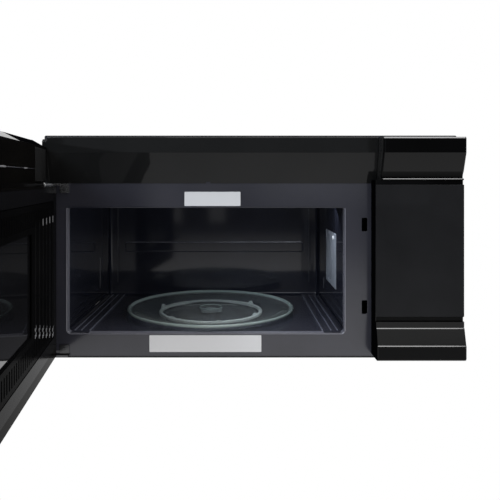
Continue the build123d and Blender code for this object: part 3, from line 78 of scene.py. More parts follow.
# Turntable
TRAY_X, TRAY_Y, TRAY_Z = -0.08125, -0.007, 0.0486
TRAY_FOOT, TRAY_RISE, TRAY_GLASS = 0.150, 0.0092, 0.0045
TRAY_EDGE, TRAY_ROLL, TRAY_LIP = 0.1740, 0.0030, 0.1705
HUB_RADIUS, HUB_RING = 0.0240, 0.0018
RING_RADIUS, RING_WIDTH = 0.1105, 0.007
ROLLER_Z, ROLLER_TRACK, ROLLER_RADIUS = 0.0418, 0.114, 0.0065
LUG_ANGLES = (100.0, 220.0, 340.0)
ROLLER_ANGLES = (40.0, 160.0, 280.0)
PIN_RADIUS = 0.00145
TRAY_STEPS, HOOP_STEPS, WHEEL_STEPS = 144, 120, 36

# Front mouldings, as depths and heights of their side outline
Y_NOSE, Y_GLASS, Y_SEAT = -0.240, -0.2275, -0.2235
Y_LEDGE, Y_COVE = -0.229, -0.227
GLASS_Y = (Y_GLASS, Y_SEAT - 0.0001)
PANEL_LOW, PANEL_HIGH = 0.0077, 0.4035
DOOR_TOP, DOOR_FALL = 0.4000, 0.0140
GLOSS_START = -0.190
NOSE_ROUND = 0.006
HIGH_EDGE, HIGH_NOSE = 0.0026, 0.3756
LOW_NOSE, LOW_SLANT = 0.0355, 0.063
GLASS_LOW, GLASS_HIGH = 0.0834, 0.319
REVEAL = 0.0085
LIP_LOW = GLASS_HIGH + REVEAL
COVE_LOW, COVE_HIGH, COVE_SINK = 0.330, 0.342, 0.005
PANEL_LEFT, BULGE_LEFT = 0.2223, 0.2315
DOOR_RIGHT, DOOR_BULGE = 0.2193, 0.2285
JOIN, EDGE_LINE, GROOVE, END_ROUND = 0.0003, 0.0014, 0.0010, 0.005
TRIM_X = (-0.370, 0.2311)
TRIM_LOW, TRIM_NOSE, TRIM_TOP, CAP_TOP = 0.321, 0.377, 0.406, 0.4016
Y_TRIM = -0.207
LOUVRES, LOUVRE_MARGIN, LOUVRE_GAP = 24, 0.020, 0.005

# Door, in its closed place
DOOR_OPEN = 83.4
HINGE = Vector((-0.373, -0.214, 0.0))
Y_CHOKE, Y_SKIN, Y_SHOULDER = -0.192, -0.1932, -0.2115
Y_COVER, COVER_SHEET = Y_CHOKE - 0.0006, 0.0016
SHOULDER_Z, SEAM_Z = 0.316, 0.346
CHOKE_X = (-0.371, 0.203)
CHOKE_Z = (0.026, 0.313)
STRIP, CHOKE_RING, HINGE_BORDER = 0.0225, 0.0435, 0.120
COMB_PITCH, COMB_GAP = 0.012, 0.005
RIB_LOW, RIB_HIGH = CHOKE_Z[0] + STRIP + 0.015, CHOKE_Z[1] - STRIP - 0.015
RIB_WIDTH, RIB_START, HINGE_PITCH, LATCH_PITCH = 0.004, 0.0045, 0.0270, 0.0150
RIB_PROUD, LUG_PROUD = 0.0005, 0.0006
RIB_CLIMB, HINGE_RIB_LOW, HINGE_RIB_HIGH = 0.25, 0.0600, 0.2645
SLOT_X, SLOT_LEVELS = 0.210, (0.093, 0.245)
SLOT_WIDTH, SLOT_HEIGHT, SLOT_ROUND = 0.010, 0.025, 0.002
POCKET_MARGIN, WINDOW_LEFT, WINDOW_RIGHT, WINDOW_MARGIN = 0.005, 0.060, 0.050, 0.018
HANDLE_X, HANDLE_Z = 0.1853, (0.076, 0.326)
HANDLE_BACK, HANDLE_THICK, HANDLE_WIDTH = -0.2655, 0.014, 0.022
STEM_LEVELS, STEM_X, STEM_Z = (0.098, 0.304), 0.008, 0.011

SWING = Matrix.Rotation(radians(-DOOR_OPEN), 4, "Z")
SWING = Matrix.Translation(HINGE) @ SWING @ Matrix.Translation(-HINGE)

# How deep a raised bar sinks into its wall, and the angle over which a moulding's edge is soft
SUNK = 0.0002
MOULDING_ANGLE = 12.0


# Materials

SCREEN_PITCH, MESH_SCALE, GLASS_IOR = 0.0026, 330.0, 1.48
WARM_GLOSS = (1.0, 0.80, 0.66, 1.0)


def set_inputs(node, values):
    """Sets inputs of a node; an underscore stands for the space in an input's name."""
    for key, value in values.items():
        node.inputs[key.replace("_", " ")].default_value = value


def add_node(tree, kind, **values):
    """New shader node with some of its inputs set."""
    made = tree.nodes.new("ShaderNode" + kind)
    set_inputs(made, values)
    return made


def calculated(tree, operation, first, second=None):
    """Output of a math node on one output and a second output or number."""
    made = add_node(tree, "Math")
    made.operation = operation
    tree.links.new(first, made.inputs[0])
    if isinstance(second, float):
        made.inputs[1].default_value = second
    elif second:
        tree.links.new(second, made.inputs[1])
    return made.outputs[0]


def two_tone(tree, value, low, high):
    """Colour ramp over a value, between two pairs of place and colour."""
    ramp = add_node(tree, "ValToRGB")
    for stop, (place, color) in zip(ramp.color_ramp.elements, (low, high)):
        stop.position = place
        stop.color = (*color, 1)
    tree.links.new(value, ramp.inputs["Fac"])
    return ramp.outputs["Color"]


def mixed(tree, share, first, second, output):
    """Mixes two shaders by a share into the material's or world's output."""
    mix = add_node(tree, "MixShader")
    tree.links.new(share, mix.inputs["Fac"])
    tree.links.new(first, mix.inputs[1])
    tree.links.new(second, mix.inputs[2])
    tree.links.new(mix.outputs["Shader"], tree.nodes[output].inputs["Surface"])


def finish_of(
    name, color, rough, specular=0.5, bump=0.0, grain=400.0, metallic=0.0,
    variation=0.15, stretch=(1, 1, 1), **sockets,
):
    """Procedural surface: colour and roughness that drift a little, and a fine bump."""
    made = bpy.data.materials.new(name)
    made.use_nodes = True
    tree = made.node_tree
    link = tree.links.new
    shader = tree.nodes["Principled BSDF"]
    set_inputs(shader, {"Metallic": metallic, "Specular IOR Level": specular, **sockets})
    mapping = add_node(tree, "Mapping", Scale=stretch)
    link(add_node(tree, "TexCoord").outputs["Object"], mapping.inputs["Vector"])
    drift = add_node(tree, "TexNoise", Scale=9.0, Detail=4.0)
    link(mapping.outputs["Vector"], drift.inputs["Vector"])
    dark = [c * (1 - variation) for c in color]
    light = [min(1, c * (1 + variation)) for c in color]
    link(two_tone(tree, drift.outputs["Fac"], (0.3, dark), (0.7, light)), shader.inputs["Base Color"])
    spread = add_node(tree, "MapRange", To_Min=rough * 0.85, To_Max=rough * 1.15)
    link(drift.outputs["Fac"], spread.inputs["Value"])
    link(spread.outputs["Result"], shader.inputs["Roughness"])
    if bump:
        fine = add_node(tree, "TexNoise", Scale=grain, Detail=3.0)
        link(mapping.outputs["Vector"], fine.inputs["Vector"])
        raise_by = add_node(tree, "Bump", Strength=bump, Distance=0.0005)
        link(fine.outputs["Fac"], raise_by.inputs["Height"])
        link(raise_by.outputs["Normal"], shader.inputs["Normal"])
    return made


# Each surface: colour, roughness, share of gloss, strength and fineness of the bump, metal
SURFACES = {
    "case_paint": ((0.005, 0.005, 0.0055), 0.42, 0.25, 0.25, 900),
    "frame_paint": ((0.028, 0.028, 0.036), 0.16, 0.52, 0.02, 60),
    "choke_paint": ((0.004, 0.004, 0.0044), 0.16, 0.009, 0.02, 60),
    "cavity_paint": ((0.015, 0.016, 0.024), 0.07, 0.36, 0.02, 50),
    "floor_paint": ((0.026, 0.027, 0.038), 0.24, 0.6, 0.03, 50),
    # Bright paint of the cavity rim and the band's upper sides: painted highlight
    "rim_paint": ((0.14, 0.14, 0.165), 0.16, 0.8, 0.02, 60),
    # Lighter paint of the wall beads, the band's lower sides and the door seam: painted highlight lines
    "bead_paint": ((0.045, 0.046, 0.056), 0.16, 0.6, 0.02, 60),
    # Floor beads painted lighter than the floor: painted highlight lines
    "floor_bead": ((0.11, 0.115, 0.145), 0.2, 0.7, 0.02, 60),
    # Bright paint of the rib-end lugs and the seam clips: painted glints
    "lug_sheen": ((0.22, 0.22, 0.23), 0.2, 0.8, 0.02, 60),
    "trim_black": ((0.0085, 0.0085, 0.0085), 0.035, 0.22, 0.03, 150),
    "panel_black": ((0.0012, 0.0012, 0.0013), 0.08, 0.22, 0.03, 150),
    "nose_black": ((0.0024, 0.0024, 0.0025), 0.12, 0.060, 0.03, 150),
    # Much lighter black for the upper moulding's left side and the block beside the door's hinge: painted
    # light
    "painted_lit_black": ((0.014, 0.014, 0.014), 0.25, 0.2, 0.03, 150),
    "edge_black": ((0.004, 0.004, 0.004), 0.12, 0.7, 0.03, 150),
    "door_gloss": ((0.006, 0.006, 0.006), 0.10, 0.02, 0.02, 150),
    "matt_black": ((0.0012, 0.0012, 0.0014), 0.5, 0.0, 0.05, 300),
    "choke_black": ((0.0030, 0.0030, 0.0032), 0.20, 0.001, 0.06, 700),
    "glass_black": ((0.0135, 0.0135, 0.0143), 0.03, 0.034),
    "zinc": ((0.55, 0.56, 0.57), 0.32, 0.5, 0.08, 250, 1.0),
    "bright_steel": ((0.68, 0.68, 0.70), 0.22, 0.5, 0.05, 500, 1.0),
    "dark_steel": ((0.085, 0.085, 0.088), 0.3, 0.5, 0.05, 400, 1.0),
    # Far lighter than the lower hinge's dark steel: the top hinge's painted highlight
    "hinge_steel_painted_lit": ((0.62, 0.62, 0.63), 0.28, 0.5, 0.05, 400, 1.0),
    "aluminium": ((0.72, 0.73, 0.74), 0.38, 0.5, 0.1, 300, 1.0),
    "mica": ((0.31, 0.335, 0.375), 0.28, 0.5, 0.12, 120),
    "nylon": ((0.74, 0.74, 0.72), 0.42, 0.4, 0.08, 500),
    "coupler_grey": ((0.30, 0.31, 0.31), 0.42, 0.4, 0.08, 500),
    "board_green": ((0.012, 0.085, 0.03), 0.4, 0.5, 0.3, 500),
    "carbon": ((0.012, 0.012, 0.012), 0.85, 0.5, 1.0, 1100),
    "ceramic": ((0.62, 0.61, 0.57), 0.5, 0.5, 0.12, 500),
    "rubber": ((0.010, 0.010, 0.010), 0.62, 0.5, 0.3, 600),
}


def clear(share):
    """Share of light that goes through a glass."""
    return {"Transmission_Weight": share, "IOR": GLASS_IOR}


# The same, with what else each has: a tint of its gloss, a stretched grain, clear glass
SPECIAL_SURFACES = {
    "door_black": (((0.0031, 0.0028, 0.0026), 0.12, 0.004, 0.03, 150), {"Specular_Tint": WARM_GLOSS}),
    "copper": (((0.52, 0.22, 0.09), 0.35, 0.5, 0.6, 900, 0.9), {"stretch": (1, 1, 9)}),
    "core_steel": (((0.16, 0.15, 0.14), 0.55, 0.5, 0.5, 700, 0.6), {"stretch": (1, 12, 1)}),
    "paper": (((0.62, 0.62, 0.63), 0.5, 0.3, 0.05, 500), {"variation": 0.02}),
    "tray_glass": (((0.86, 0.93, 0.91), 0.03), {"variation": 0.03, **clear(0.97)}),
    # Paler, less clear glass on the tray's rim and hub ring: painted highlight lines
    "rim_glass_painted_lines": (((0.50, 0.60, 0.57), 0.08, 0.8), {"variation": 0.05, **clear(0.55)}),
    "lens_glass": (((0.90, 0.90, 0.88), 0.35, 0.5, 0.3, 260), clear(0.8)),
}
LOOKS = {name: finish_of(name, *values) for name, values in SURFACES.items()}
for name, (values, extra) in SPECIAL_SURFACES.items():
    LOOKS[name] = finish_of(name, *values, **extra)


def let_light_through(made, share):
    """Mixes clear in for shadow rays alone, so that what lies under the glass is lit."""
    tree = made.node_tree
    shadow = add_node(tree, "LightPath").outputs["Is Shadow Ray"]
    clear = add_node(tree, "BsdfTransparent").outputs["BSDF"]
    glass = tree.nodes["Principled BSDF"].outputs["BSDF"]
    mixed(tree, calculated(tree, "MULTIPLY", shadow, share), glass, clear, "Material Output")


let_light_through(LOOKS["tray_glass"], 0.85)


def screen_material():
    """Dark pane over a finely perforated screen: rows of round dots under a glossy coat."""
    made = finish_of("window_pane", (0.003, 0.003, 0.0035), rough=0.03, specular=0.3)
    tree = made.node_tree
    split = add_node(tree, "SeparateXYZ")
    tree.links.new(add_node(tree, "TexCoord").outputs["Object"], split.inputs["Vector"])
    waves = []
    for axis in ("X", "Z"):
        scaled = calculated(tree, "MULTIPLY", split.outputs[axis], 2 * pi / SCREEN_PITCH)
        waves.append(calculated(tree, "SINE", scaled))
    dots = calculated(tree, "MULTIPLY", *waves)
    tint = two_tone(tree, dots, (0.25, (0.007, 0.007, 0.008)), (0.42, (0.002, 0.002, 0.002)))
    tree.links.new(tint, tree.nodes["Principled BSDF"].inputs["Base Color"])
    return made


def mesh_filter_material():
    """Layers of expanded aluminium mesh: crossed waves as colour and bump."""
    made = finish_of("filter_mesh", (0.55, 0.56, 0.57), rough=0.4, metallic=1.0)
    tree = made.node_tree
    shader = tree.nodes["Principled BSDF"]
    mapping = add_node(tree, "Mapping", Rotation=(0, 0, radians(45)))
    tree.links.new(add_node(tree, "TexCoord").outputs["Object"], mapping.inputs["Vector"])
    cells = add_node(tree, "TexVoronoi")
    cells.feature = "DISTANCE_TO_EDGE"
    set_inputs(cells, {"Scale": MESH_SCALE, "Randomness": 0.25})
    tree.links.new(mapping.outputs["Vector"], cells.inputs["Vector"])
    strand = cells.outputs["Distance"]
    tint = two_tone(tree, strand, (0.10, (0.60, 0.61, 0.62)), (0.22, (0.08, 0.08, 0.08)))
    tree.links.new(tint, shader.inputs["Base Color"])
    raise_by = add_node(tree, "Bump", Strength=0.8, Distance=0.001)
    raise_by.invert = True
    tree.links.new(strand, raise_by.inputs["Height"])
    tree.links.new(raise_by.outputs["Normal"], shader.inputs["Normal"])
    return made


LOOKS["window_pane"] = screen_material()
LOOKS["filter_mesh"] = mesh_filter_material()

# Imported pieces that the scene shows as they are, by what they are made of
CARRIED = {
    "case_paint": "outer_case base_pan",
    "zinc": "back_panel waveguide magnetron_yoke capacitor_clamp blower_housing blower_motor "
    "exhaust_adapter top_nuts turntable_motor handle_screws",
    "bright_steel": "case_screws",
    "filter_mesh": "grease_filters",
    "lens_glass": "lamp_lenses cooktop_lamps",
    "ceramic": "lamp_sockets cavity_lamp",
    "nylon": "cover_clip interlock_switches hinge_bushes",
    "aluminium": "magnetron_tube capacitor blower_wheels damper_flap",
    "core_steel": "transformer_core fan_motor",
    "copper": "transformer_coils",
    "choke_black": "fan_housing fan_blade latch_bracket upper_plunger lower_plunger latch_bar latch_guide",
    "rubber": "cable_gland",
    "carbon": "charcoal_filter",
    "coupler_grey": "drive_coupler",
    "board_green": "control_board",
    # The top hinge takes a far lighter steel than the lower hinge: painted highlight
    "hinge_steel_painted_lit": "hinge_top",
    "dark_steel": "hinge_bottom",
    "choke_paint": "choke_frame",
}
for look, nodes in CARRIED.items():
    for node in nodes.split():
        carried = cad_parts[node].data
        carried.materials.clear()
        carried.materials.append(LOOKS[look])

# Slot of a new piece, by the surface that it is made with
SLOT_SURFACES = {
    "frame_enamel": "frame_paint rim_paint",
    "cavity_enamel": "cavity_paint floor_paint bead_paint floor_bead",
    "mica": "mica",
    "tray_glass": "tray_glass",
    "pale_plastic": "nylon",
    "black_plastic": "trim_black panel_black door_black",
    "panel_glass": "glass_black",
    "choke_plastic": "choke_black door_gloss lug_sheen",
    "window_glass": "window_pane",
    "zinc_steel": "dark_steel",
}
SLOTS = {surface: slot for slot, names in SLOT_SURFACES.items() for surface in names.split()}


# Mesh tools


def new_object(name, data):
    """Object that stands in the scene."""
    made = bpy.data.objects.new(name, data)
    bpy.context.scene.collection.objects.link(made)
    return made


def add_piece(name, shape, surface, body, replaces=None, slot=None, smooth=True):
    """New mesh piece that rides on a body; the door's pieces are built closed and swung open."""
    verts, faces = shape
    mesh = bpy.data.meshes.new(name)
    mesh.from_pydata([tuple(v) for v in verts], [], faces)
    work = bmesh.new()
    work.from_mesh(mesh)
    bmesh.ops.remove_doubles(work, verts=work.verts, dist=1e-6)
    bmesh.ops.recalc_face_normals(work, faces=work.faces)
    work.to_mesh(mesh)
    work.free()
    mesh.materials.append(LOOKS[surface])
    if smooth:
        mesh.shade_smooth()
    piece = new_object(name, mesh)
    if body == "door":
        piece.matrix_world = SWING
    if body:
        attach(piece, body)
        if replaces:
            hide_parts(replaces)
        slot = slot or SLOTS.get(surface)
    return piece


def paint_faces(piece, *rules):
    """Gives the faces that a test picks another surface; a later rule goes over an earlier one."""
    for surface, chosen in rules:
        piece.data.materials.append(LOOKS[surface])
        index = len(piece.data.materials) - 1
        for face in piece.data.polygons:
            if chosen(face):
                face.material_index = index


def even_shading(piece):
    """Keeps flat faces flat beside their soft edges."""
    piece.modifiers.new("shading", "WEIGHTED_NORMAL").keep_sharp = True
    return piece


def soften(piece, width, segments=3, angle=28.0):
    """Rounds the hard edges of a piece and keeps its flat faces flat."""
    bevel = piece.modifiers.new("edges", "BEVEL")
    bevel.width = width
    bevel.segments = segments
    bevel.limit_method = "ANGLE"
    bevel.angle_limit = radians(angle)
    bevel.use_clamp_overlap = True
    return even_shading(piece)


def span(xs, ys, zs):
    """Lower and upper corner of a box from its three ranges."""
    return tuple(zip(xs, ys, zs))


def box_mesh(low, high):
    """Vertices and faces of a box between two corners."""
    verts = [(x, y, z) for x in (low[0], high[0]) for y in (low[1], high[1]) for z in (low[2], high[2])]
    faces = [(0, 1, 3, 2), (4, 6, 7, 5), (0, 4, 5, 1), (2, 3, 7, 6), (0, 2, 6, 4), (1, 5, 7, 3)]
    return verts, faces


def joined(shapes):
    """Several shapes as one."""
    verts, faces = [], []
    for more_verts, more_faces in shapes:
        faces += [tuple(i + len(verts) for i in face) for face in more_faces]
        verts += more_verts
    return verts, faces


def boxes_mesh(pairs):
    """Several boxes as one mesh."""
    return joined([box_mesh(low, high) for low, high in pairs])


def all_round(steps):
    """Angles of equal steps round a circle."""
    return [2 * pi * k / steps for k in range(steps)]


def turned(profile, centre, steps):
    """A closed (r, z) outline turned about an upright line."""
    verts, faces = [], []
    n = len(profile)
    for a in all_round(steps):
        verts += [(centre[0] + r * cos(a), centre[1] + r * sin(a), z) for r, z in profile]
    for k in range(steps):
        m = (k + 1) % steps
        for i in range(n):
            j = (i + 1) % n
            faces.append((k * n + i, m * n + i, m * n + j, k * n + j))
    return verts, faces


def arc(centre, radius, start, end, steps=6):
    """Points of an arc in a plane, both ends included, angles in degrees."""
    points = []
    for i in range(steps + 1):
        a = radians(start + (end - start) * i / steps)
        points.append((centre[0] + radius * cos(a), centre[1] + radius * sin(a)))
    return points


def round_rect(low, high, radius, steps=6, top=None):
    """Closed outline of a rounded rectangle, from its lower right corner, anticlockwise.

    The upper corners take the radius top where it is given.
    """
    (x0, z0), (x1, z1) = low, high
    r = radius
    t = radius if top is None else top
    return (
        arc((x1 - r, z0 + r), r, -90, 0, steps)
        + arc((x1 - t, z1 - t), t, 0, 90, steps)
        + arc((x0 + t, z1 - t), t, 90, 180, steps)
        + arc((x0 + r, z0 + r), r, 180, 270, steps)
    )


def inset_rect(xs, zs, inset, radius, steps=6, top=None):
    """Rounded rectangle between two X and two Z values, moved inwards."""
    low = (xs[0] + inset, zs[0] + inset)
    high = (xs[1] - inset, zs[1] - inset)
    return round_rect(low, high, radius, steps, top)


def at_depth(outline, y):
    """Outline of (x, z) points set upright at a depth."""
    return [(x, y, z) for x, z in outline]


def skin_loops(loops, close_first=False, close_last=False):
    """Faces between closed loops of points that follow each other."""
    n = len(loops[0])
    verts = [p for loop in loops for p in loop]
    faces = []
    for k in range(len(loops) - 1):
        for i in range(n):
            j = (i + 1) % n
            faces.append((k * n + i, k * n + j, (k + 1) * n + j, (k + 1) * n + i))
    if close_first:
        faces.append(tuple(range(n)))
    if close_last:
        faces.append(tuple(range(len(verts) - n, len(verts))))
    return verts, faces


def prism_x(profile, x0, x1):
    """A (y, z) outline drawn out along X, closed at both ends."""
    verts, faces = skin_loops([[(x, y, z) for y, z in profile] for x in (x0, x1)], close_first=True)
    return verts, faces + [tuple(range(len(verts) - 1, len(profile) - 1, -1))]


def shown_mesh(piece):
    """Mesh of an object with its modifiers or its curve's thickness."""
    shown = bpy.context.evaluated_depsgraph_get()
    shown.update()
    return bpy.data.meshes.new_from_object(piece.evaluated_get(shown))


def carve(piece, pairs):
    """Cuts boxes out of a piece."""
    cutter = add_piece(piece.name + "_cutter", boxes_mesh(pairs), "paper", None, smooth=False)
    cutter.matrix_world = piece.matrix_world
    cut = piece.modifiers.new("cut", "BOOLEAN")
    cut.operation = "DIFFERENCE"
    cut.solver = "EXACT"
    cut.object = cutter
    cut.use_self = True
    result = shown_mesh(piece)
    piece.modifiers.clear()
    leftovers = (piece.data, cutter.data)
    piece.data = result
    bpy.data.objects.remove(cutter)
    for leftover in leftovers:
        bpy.data.meshes.remove(leftover)


def plate(name, outlines, y_front, thickness, edge, surface, body, **riding):
    """Upright plate from closed outlines, the first outside and the rest holes, with soft edges."""
    shape = bpy.data.curves.new(name + "_outline", "CURVE")
    shape.dimensions = "2D"
    shape.fill_mode = "BOTH"
    shape.extrude = thickness / 2 - edge
    shape.bevel_depth = edge
    shape.bevel_resolution = 2
    shape.offset = -edge
    for outline in outlines:
        line = shape.splines.new("POLY")
        line.points.add(len(outline) - 1)
        for point, (x, z) in zip(line.points, outline):
            point.co = (x, z, 0, 1)
        line.use_cyclic_u = True
    holder = new_object(name + "_outline", shape)
    mesh = shown_mesh(holder)
    upright = Matrix.Translation((0, y_front + thickness / 2, 0)) @ Matrix.Rotation(radians(90), 4, "X")
    mesh.transform(upright)
    verts = [v.co.copy() for v in mesh.vertices]
    faces = [tuple(f.vertices) for f in mesh.polygons]
    bpy.data.objects.remove(holder)
    bpy.data.curves.remove(shape)
    bpy.data.meshes.remove(mesh)
    return even_shading(add_piece(name, (verts, faces), surface, body, **riding))


def glass_slab(name, corners, edge, surface, body, **riding):
    """Flat glass with ground edges."""
    return soften(add_piece(name, box_mesh(*corners), surface, body, **riding), edge)


# Cabinet front

openings = [inset_rect(CAVITY_X, CAVITY_Z, 0.0, CAVITY_ROUND, CORNER_STEPS, CAVITY_TOP_ROUND)]
for level in SLOT_LEVELS:
    low = (SLOT_X - SLOT_WIDTH / 2, level - SLOT_HEIGHT / 2)
    high = (SLOT_X + SLOT_WIDTH / 2, level + SLOT_HEIGHT / 2)
    openings.append(round_rect(low, high, SLOT_ROUND))
low, high = (PANEL_LEFT + PANEL_BORDER, GLASS_LOW), (X_RIGHT - PANEL_BORDER, GLASS_HIGH)
openings.append(round_rect(low, high, OPENING_ROUND))
for start in AIR_OPENINGS:
    openings.append(round_rect((start, AIR_Z[0]), (start + AIR_WIDTH, AIR_Z[1]), OPENING_ROUND))
face_outline = round_rect((-INSIDE, FRAME_LOW), (INSIDE, FRAME_HIGH), 0.003)
outlines = [face_outline] + openings
plate("front_face", outlines, Y_FRONT, SHEET, SHEET_EDGE, "frame_paint", "cabinet", replaces="front_frame")

# Rolled rim round the cavity opening, in a bright paint as a painted highlight; its top faces keep the dark
# cavity paint
rim_loops = []
for step in range(9):
    turn = radians(90 * step / 8)
    out = RIM * (1 - sin(turn))
    rounds = (CAVITY_ROUND + out, CORNER_STEPS, CAVITY_TOP_ROUND + out)
    outline = inset_rect(CAVITY_X, CAVITY_Z, RIM_LAP - out, *rounds)
    rim_loops.append(at_depth(outline, Y_FRONT - RIM_LAP + RIM * (1 - cos(turn))))
rim_loops.append(at_depth(outline, Y_FRONT + RIM_DEPTH))
cavity_rim = add_piece("cavity_rim", skin_loops(rim_loops), "rim_paint", "cabinet")
paint_faces(cavity_rim, ("cavity_paint", lambda face: face.center.z > CAVITY_Z[1] - 0.001))

# Cavity


def cavity_shell():
    """Walls and ceiling with rounded corners, a rounded back edge and a back wall, no floor."""
    stations = [(Y_FRAME, 0.0)]
    for step in range(7):
        turn = radians(90 * step / 6)
        stations.append((FLOOR_Y[1] + BACK_ROUND * sin(turn), BACK_ROUND * (1 - cos(turn))))
    loops = []
    for y, inset in stations:
        top = max(CAVITY_TOP_ROUND - inset * 0.3, 0.0005)
        outline = inset_rect(CAVITY_X, CAVITY_Z, inset, CAVITY_ROUND - inset * 0.6, CORNER_STEPS, top)
        loops.append(at_depth(outline, y))
    verts, faces = skin_loops(loops, close_last=True)
    n = len(loops[0])
    open_floor = {n - 1, 0, n, 2 * n - 1}
    return verts, [f for f in faces if set(f) != open_floor]


shell = add_piece("cavity_shell", cavity_shell(), "cavity_paint", "cabinet", replaces="cavity_liner")
even_shading(shell)


def ledge_profile(start, edge, inwards):
    """Points (x, z) from beside a wall over the raised ledge down to the flat floor."""
    flat, top = CAVITY_Z[0], CAVITY_Z[0] + LEDGE_RISE
    course = ((-0.001, top), (0.0, top - 0.0002), (0.0025, flat + 0.0002), (0.0035, flat))
    return [(start, top)] + [(edge + inwards * out, z) for out, z in course]


def way_to(low, high, start, step):
    """How far a ray runs between two borders along one axis."""
    if abs(step) < 1e-9:
        return 9.0
    return ((high if step > 0 else low) - start) / step


def recess_profile():
    """Points (r, z) from the flat floor down into the roller track and on to the hub."""
    flat = CAVITY_Z[0]
    brim, foot = RECESS_RADIUS + RECESS_BEND, RECESS_RADIUS - RECESS_FOOT
    points = [(brim, flat)]
    points += [(brim + r, flat - RECESS_BEND + z) for r, z in arc((0, 0), RECESS_BEND, 90, 180, 5)]
    points += [(foot + r, TRACK_Z + RECESS_FOOT + z) for r, z in arc((0, 0), RECESS_FOOT, 0, -90, 5)]
    points += [(RECESS_RADIUS - 0.024, TRACK_Z), (RECESS_RADIUS - 0.026, TRACK_Z + TRACK_STEP)]
    return points + [(0.030, TRACK_Z + TRACK_STEP), (0.026, TRACK_Z), (0.0056, TRACK_Z)]


def cavity_floor():
    """Floor with two raised side ledges and a round recess for the roller track."""
    left = ledge_profile(FLOOR_X[0], CAVITY_X[0] + LEDGE_LEFT, 1)
    right = ledge_profile(FLOOR_X[1], CAVITY_X[1] - LEDGE_RIGHT, -1)
    y0, y1 = FLOOR_Y
    verts, faces = [], []
    for row in (left, right):
        for (x0, z0), (x1, z1) in zip(row, row[1:]):
            start = len(verts)
            verts += [(x0, y0, z0), (x1, y0, z1), (x1, y1, z1), (x0, y1, z0)]
            faces.append((start, start + 1, start + 2, start + 3))
    x0, x1 = left[-1][0], right[-1][0]
    steps = TRAY_STEPS
    centre = Vector((TRAY_X, TRAY_Y))
    turns = all_round(steps)
    edge = []
    for a in turns:
        reach = min(way_to(x0, x1, TRAY_X, cos(a)), way_to(y0, y1, TRAY_Y, sin(a)))
        edge.append(centre + Vector((cos(a), sin(a))) * reach)
    for corner in [Vector((x, y)) for x in (x0, x1) for y in FLOOR_Y]:
        nearest = min(range(steps), key=lambda k: (edge[k] - corner).length)
        edge[nearest] = corner
    profile = recess_profile()
    base = len(verts)
    n = len(profile) + 1
    for border, a in zip(edge, turns):
        verts.append((border.x, border.y, CAVITY_Z[0]))
        verts += [(centre.x + r * cos(a), centre.y + r * sin(a), z) for r, z in profile]
    for k in range(steps):
        m = (k + 1) % steps
        for i in range(n - 1):
            faces.append((base + k * n + i, base + m * n + i, base + m * n + i + 1, base + k * n + i + 1))
    return verts, faces


even_shading(add_piece("cavity_floor", cavity_floor(), "floor_paint", "cabinet"))

# Pressed band across the back wall, which stands proud with soft sides
loops = []
for inset, out in (
    (-0.001, -0.0002),
    (0.0, 0.0001),
    (BAND_SLOPE * 0.3, BAND_RISE * 0.2),
    (BAND_SLOPE * 0.7, BAND_RISE * 0.8),
    (BAND_SLOPE, BAND_RISE),
    (BAND_SLOPE + 0.002, BAND_RISE),
):
    outline = inset_rect(BAND_X, BAND_Z, inset, max(BAND_ROUND - inset, 0.0008), 5)
    loops.append(at_depth(outline, CAVITY_BACK - out))
band = add_piece("back_wall_band", skin_loops(loops, close_last=True), "cavity_paint", "cabinet")
# The band's upper sides take a bright paint and its lower sides a dimmer one: painted highlights
paint_faces(
    band,
    ("rim_paint", lambda face: abs(face.normal.y) < 0.97 and face.center.z > BAND_LIT_Z),
    ("bead_paint", lambda face: abs(face.normal.y) < 0.97 and face.center.z < BAND_LIT_Z),
)

# Beads pressed into the walls and the floor, in lighter paints as painted highlight lines
WALL_BEAD, FLOOR_BEAD = 0.0012, 0.0028
depths = (CAVITY_BACK - 0.0010, CAVITY_BACK + SUNK)
beads = [span((x - 0.0008, x + 0.0008), depths, (0.075, 0.262)) for x in (0.152, -0.318)]
left, right = (CAVITY_X[0] - SUNK, CAVITY_X[0] + WALL_BEAD), (CAVITY_X[1] - WALL_BEAD, CAVITY_X[1] + SUNK)
for xs, top in ((left, 0.150), (right, 0.104)):
    beads.append(span(xs, (0.069, 0.0706), (0.080, top)))
soften(add_piece("wall_beads", boxes_mesh(beads), "bead_paint", "cabinet"), 0.0005)
beads = []
for x in (-0.3270, -0.3150, -0.2990, 0.1340, 0.1500, 0.1620):
    xs, ys = (x - FLOOR_BEAD / 2, x + FLOOR_BEAD / 2), (FLOOR_Y[0] + 0.012, FLOOR_Y[1] - 0.006)
    beads.append(span(xs, ys, (CAVITY_Z[0] - 0.001, CAVITY_Z[0] + LEDGE_RISE + 0.0012)))
soften(add_piece("floor_beads", boxes_mesh(beads), "floor_bead", "cabinet"), 0.0006)


def bowed_sheet(low, high, cells=10, bow=0.0006):
    """Thin upright sheet between two corners with a little bow towards the cavity."""
    line = cells + 1
    verts, faces = [], []
    for side in (0, 1):
        for i in range(line):
            for j in range(line):
                u, v = i / cells, j / cells
                out = bow * sin(pi * u) * sin(pi * v)
                x = high.x if side else low.x - out
                verts.append((x, low.y + (high.y - low.y) * u, low.z + (high.z - low.z) * v))
    for side in (0, 1):
        for i in range(cells):
            for j in range(cells):
                a = side * line * line + i * line + j
                faces.append((a, a + 1, a + line + 1, a + line))
    border = (
        list(range(line))
        + [(i + 1) * line + cells for i in range(cells)]
        + [cells * line + cells - 1 - j for j in range(cells)]
        + [(cells - 1 - i) * line for i in range(cells - 1)]
    )
    for a, b in zip(border, border[1:] + border[:1]):
        faces.append((a, b, b + line * line, a + line * line))
    return verts, faces


sheet = bowed_sheet(*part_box("waveguide_cover"))
cover = add_piece("port_cover", sheet, "mica", "cabinet", replaces="waveguide_cover")
soften(cover, 0.0003, 2, 50)

# Turntable and its rollers

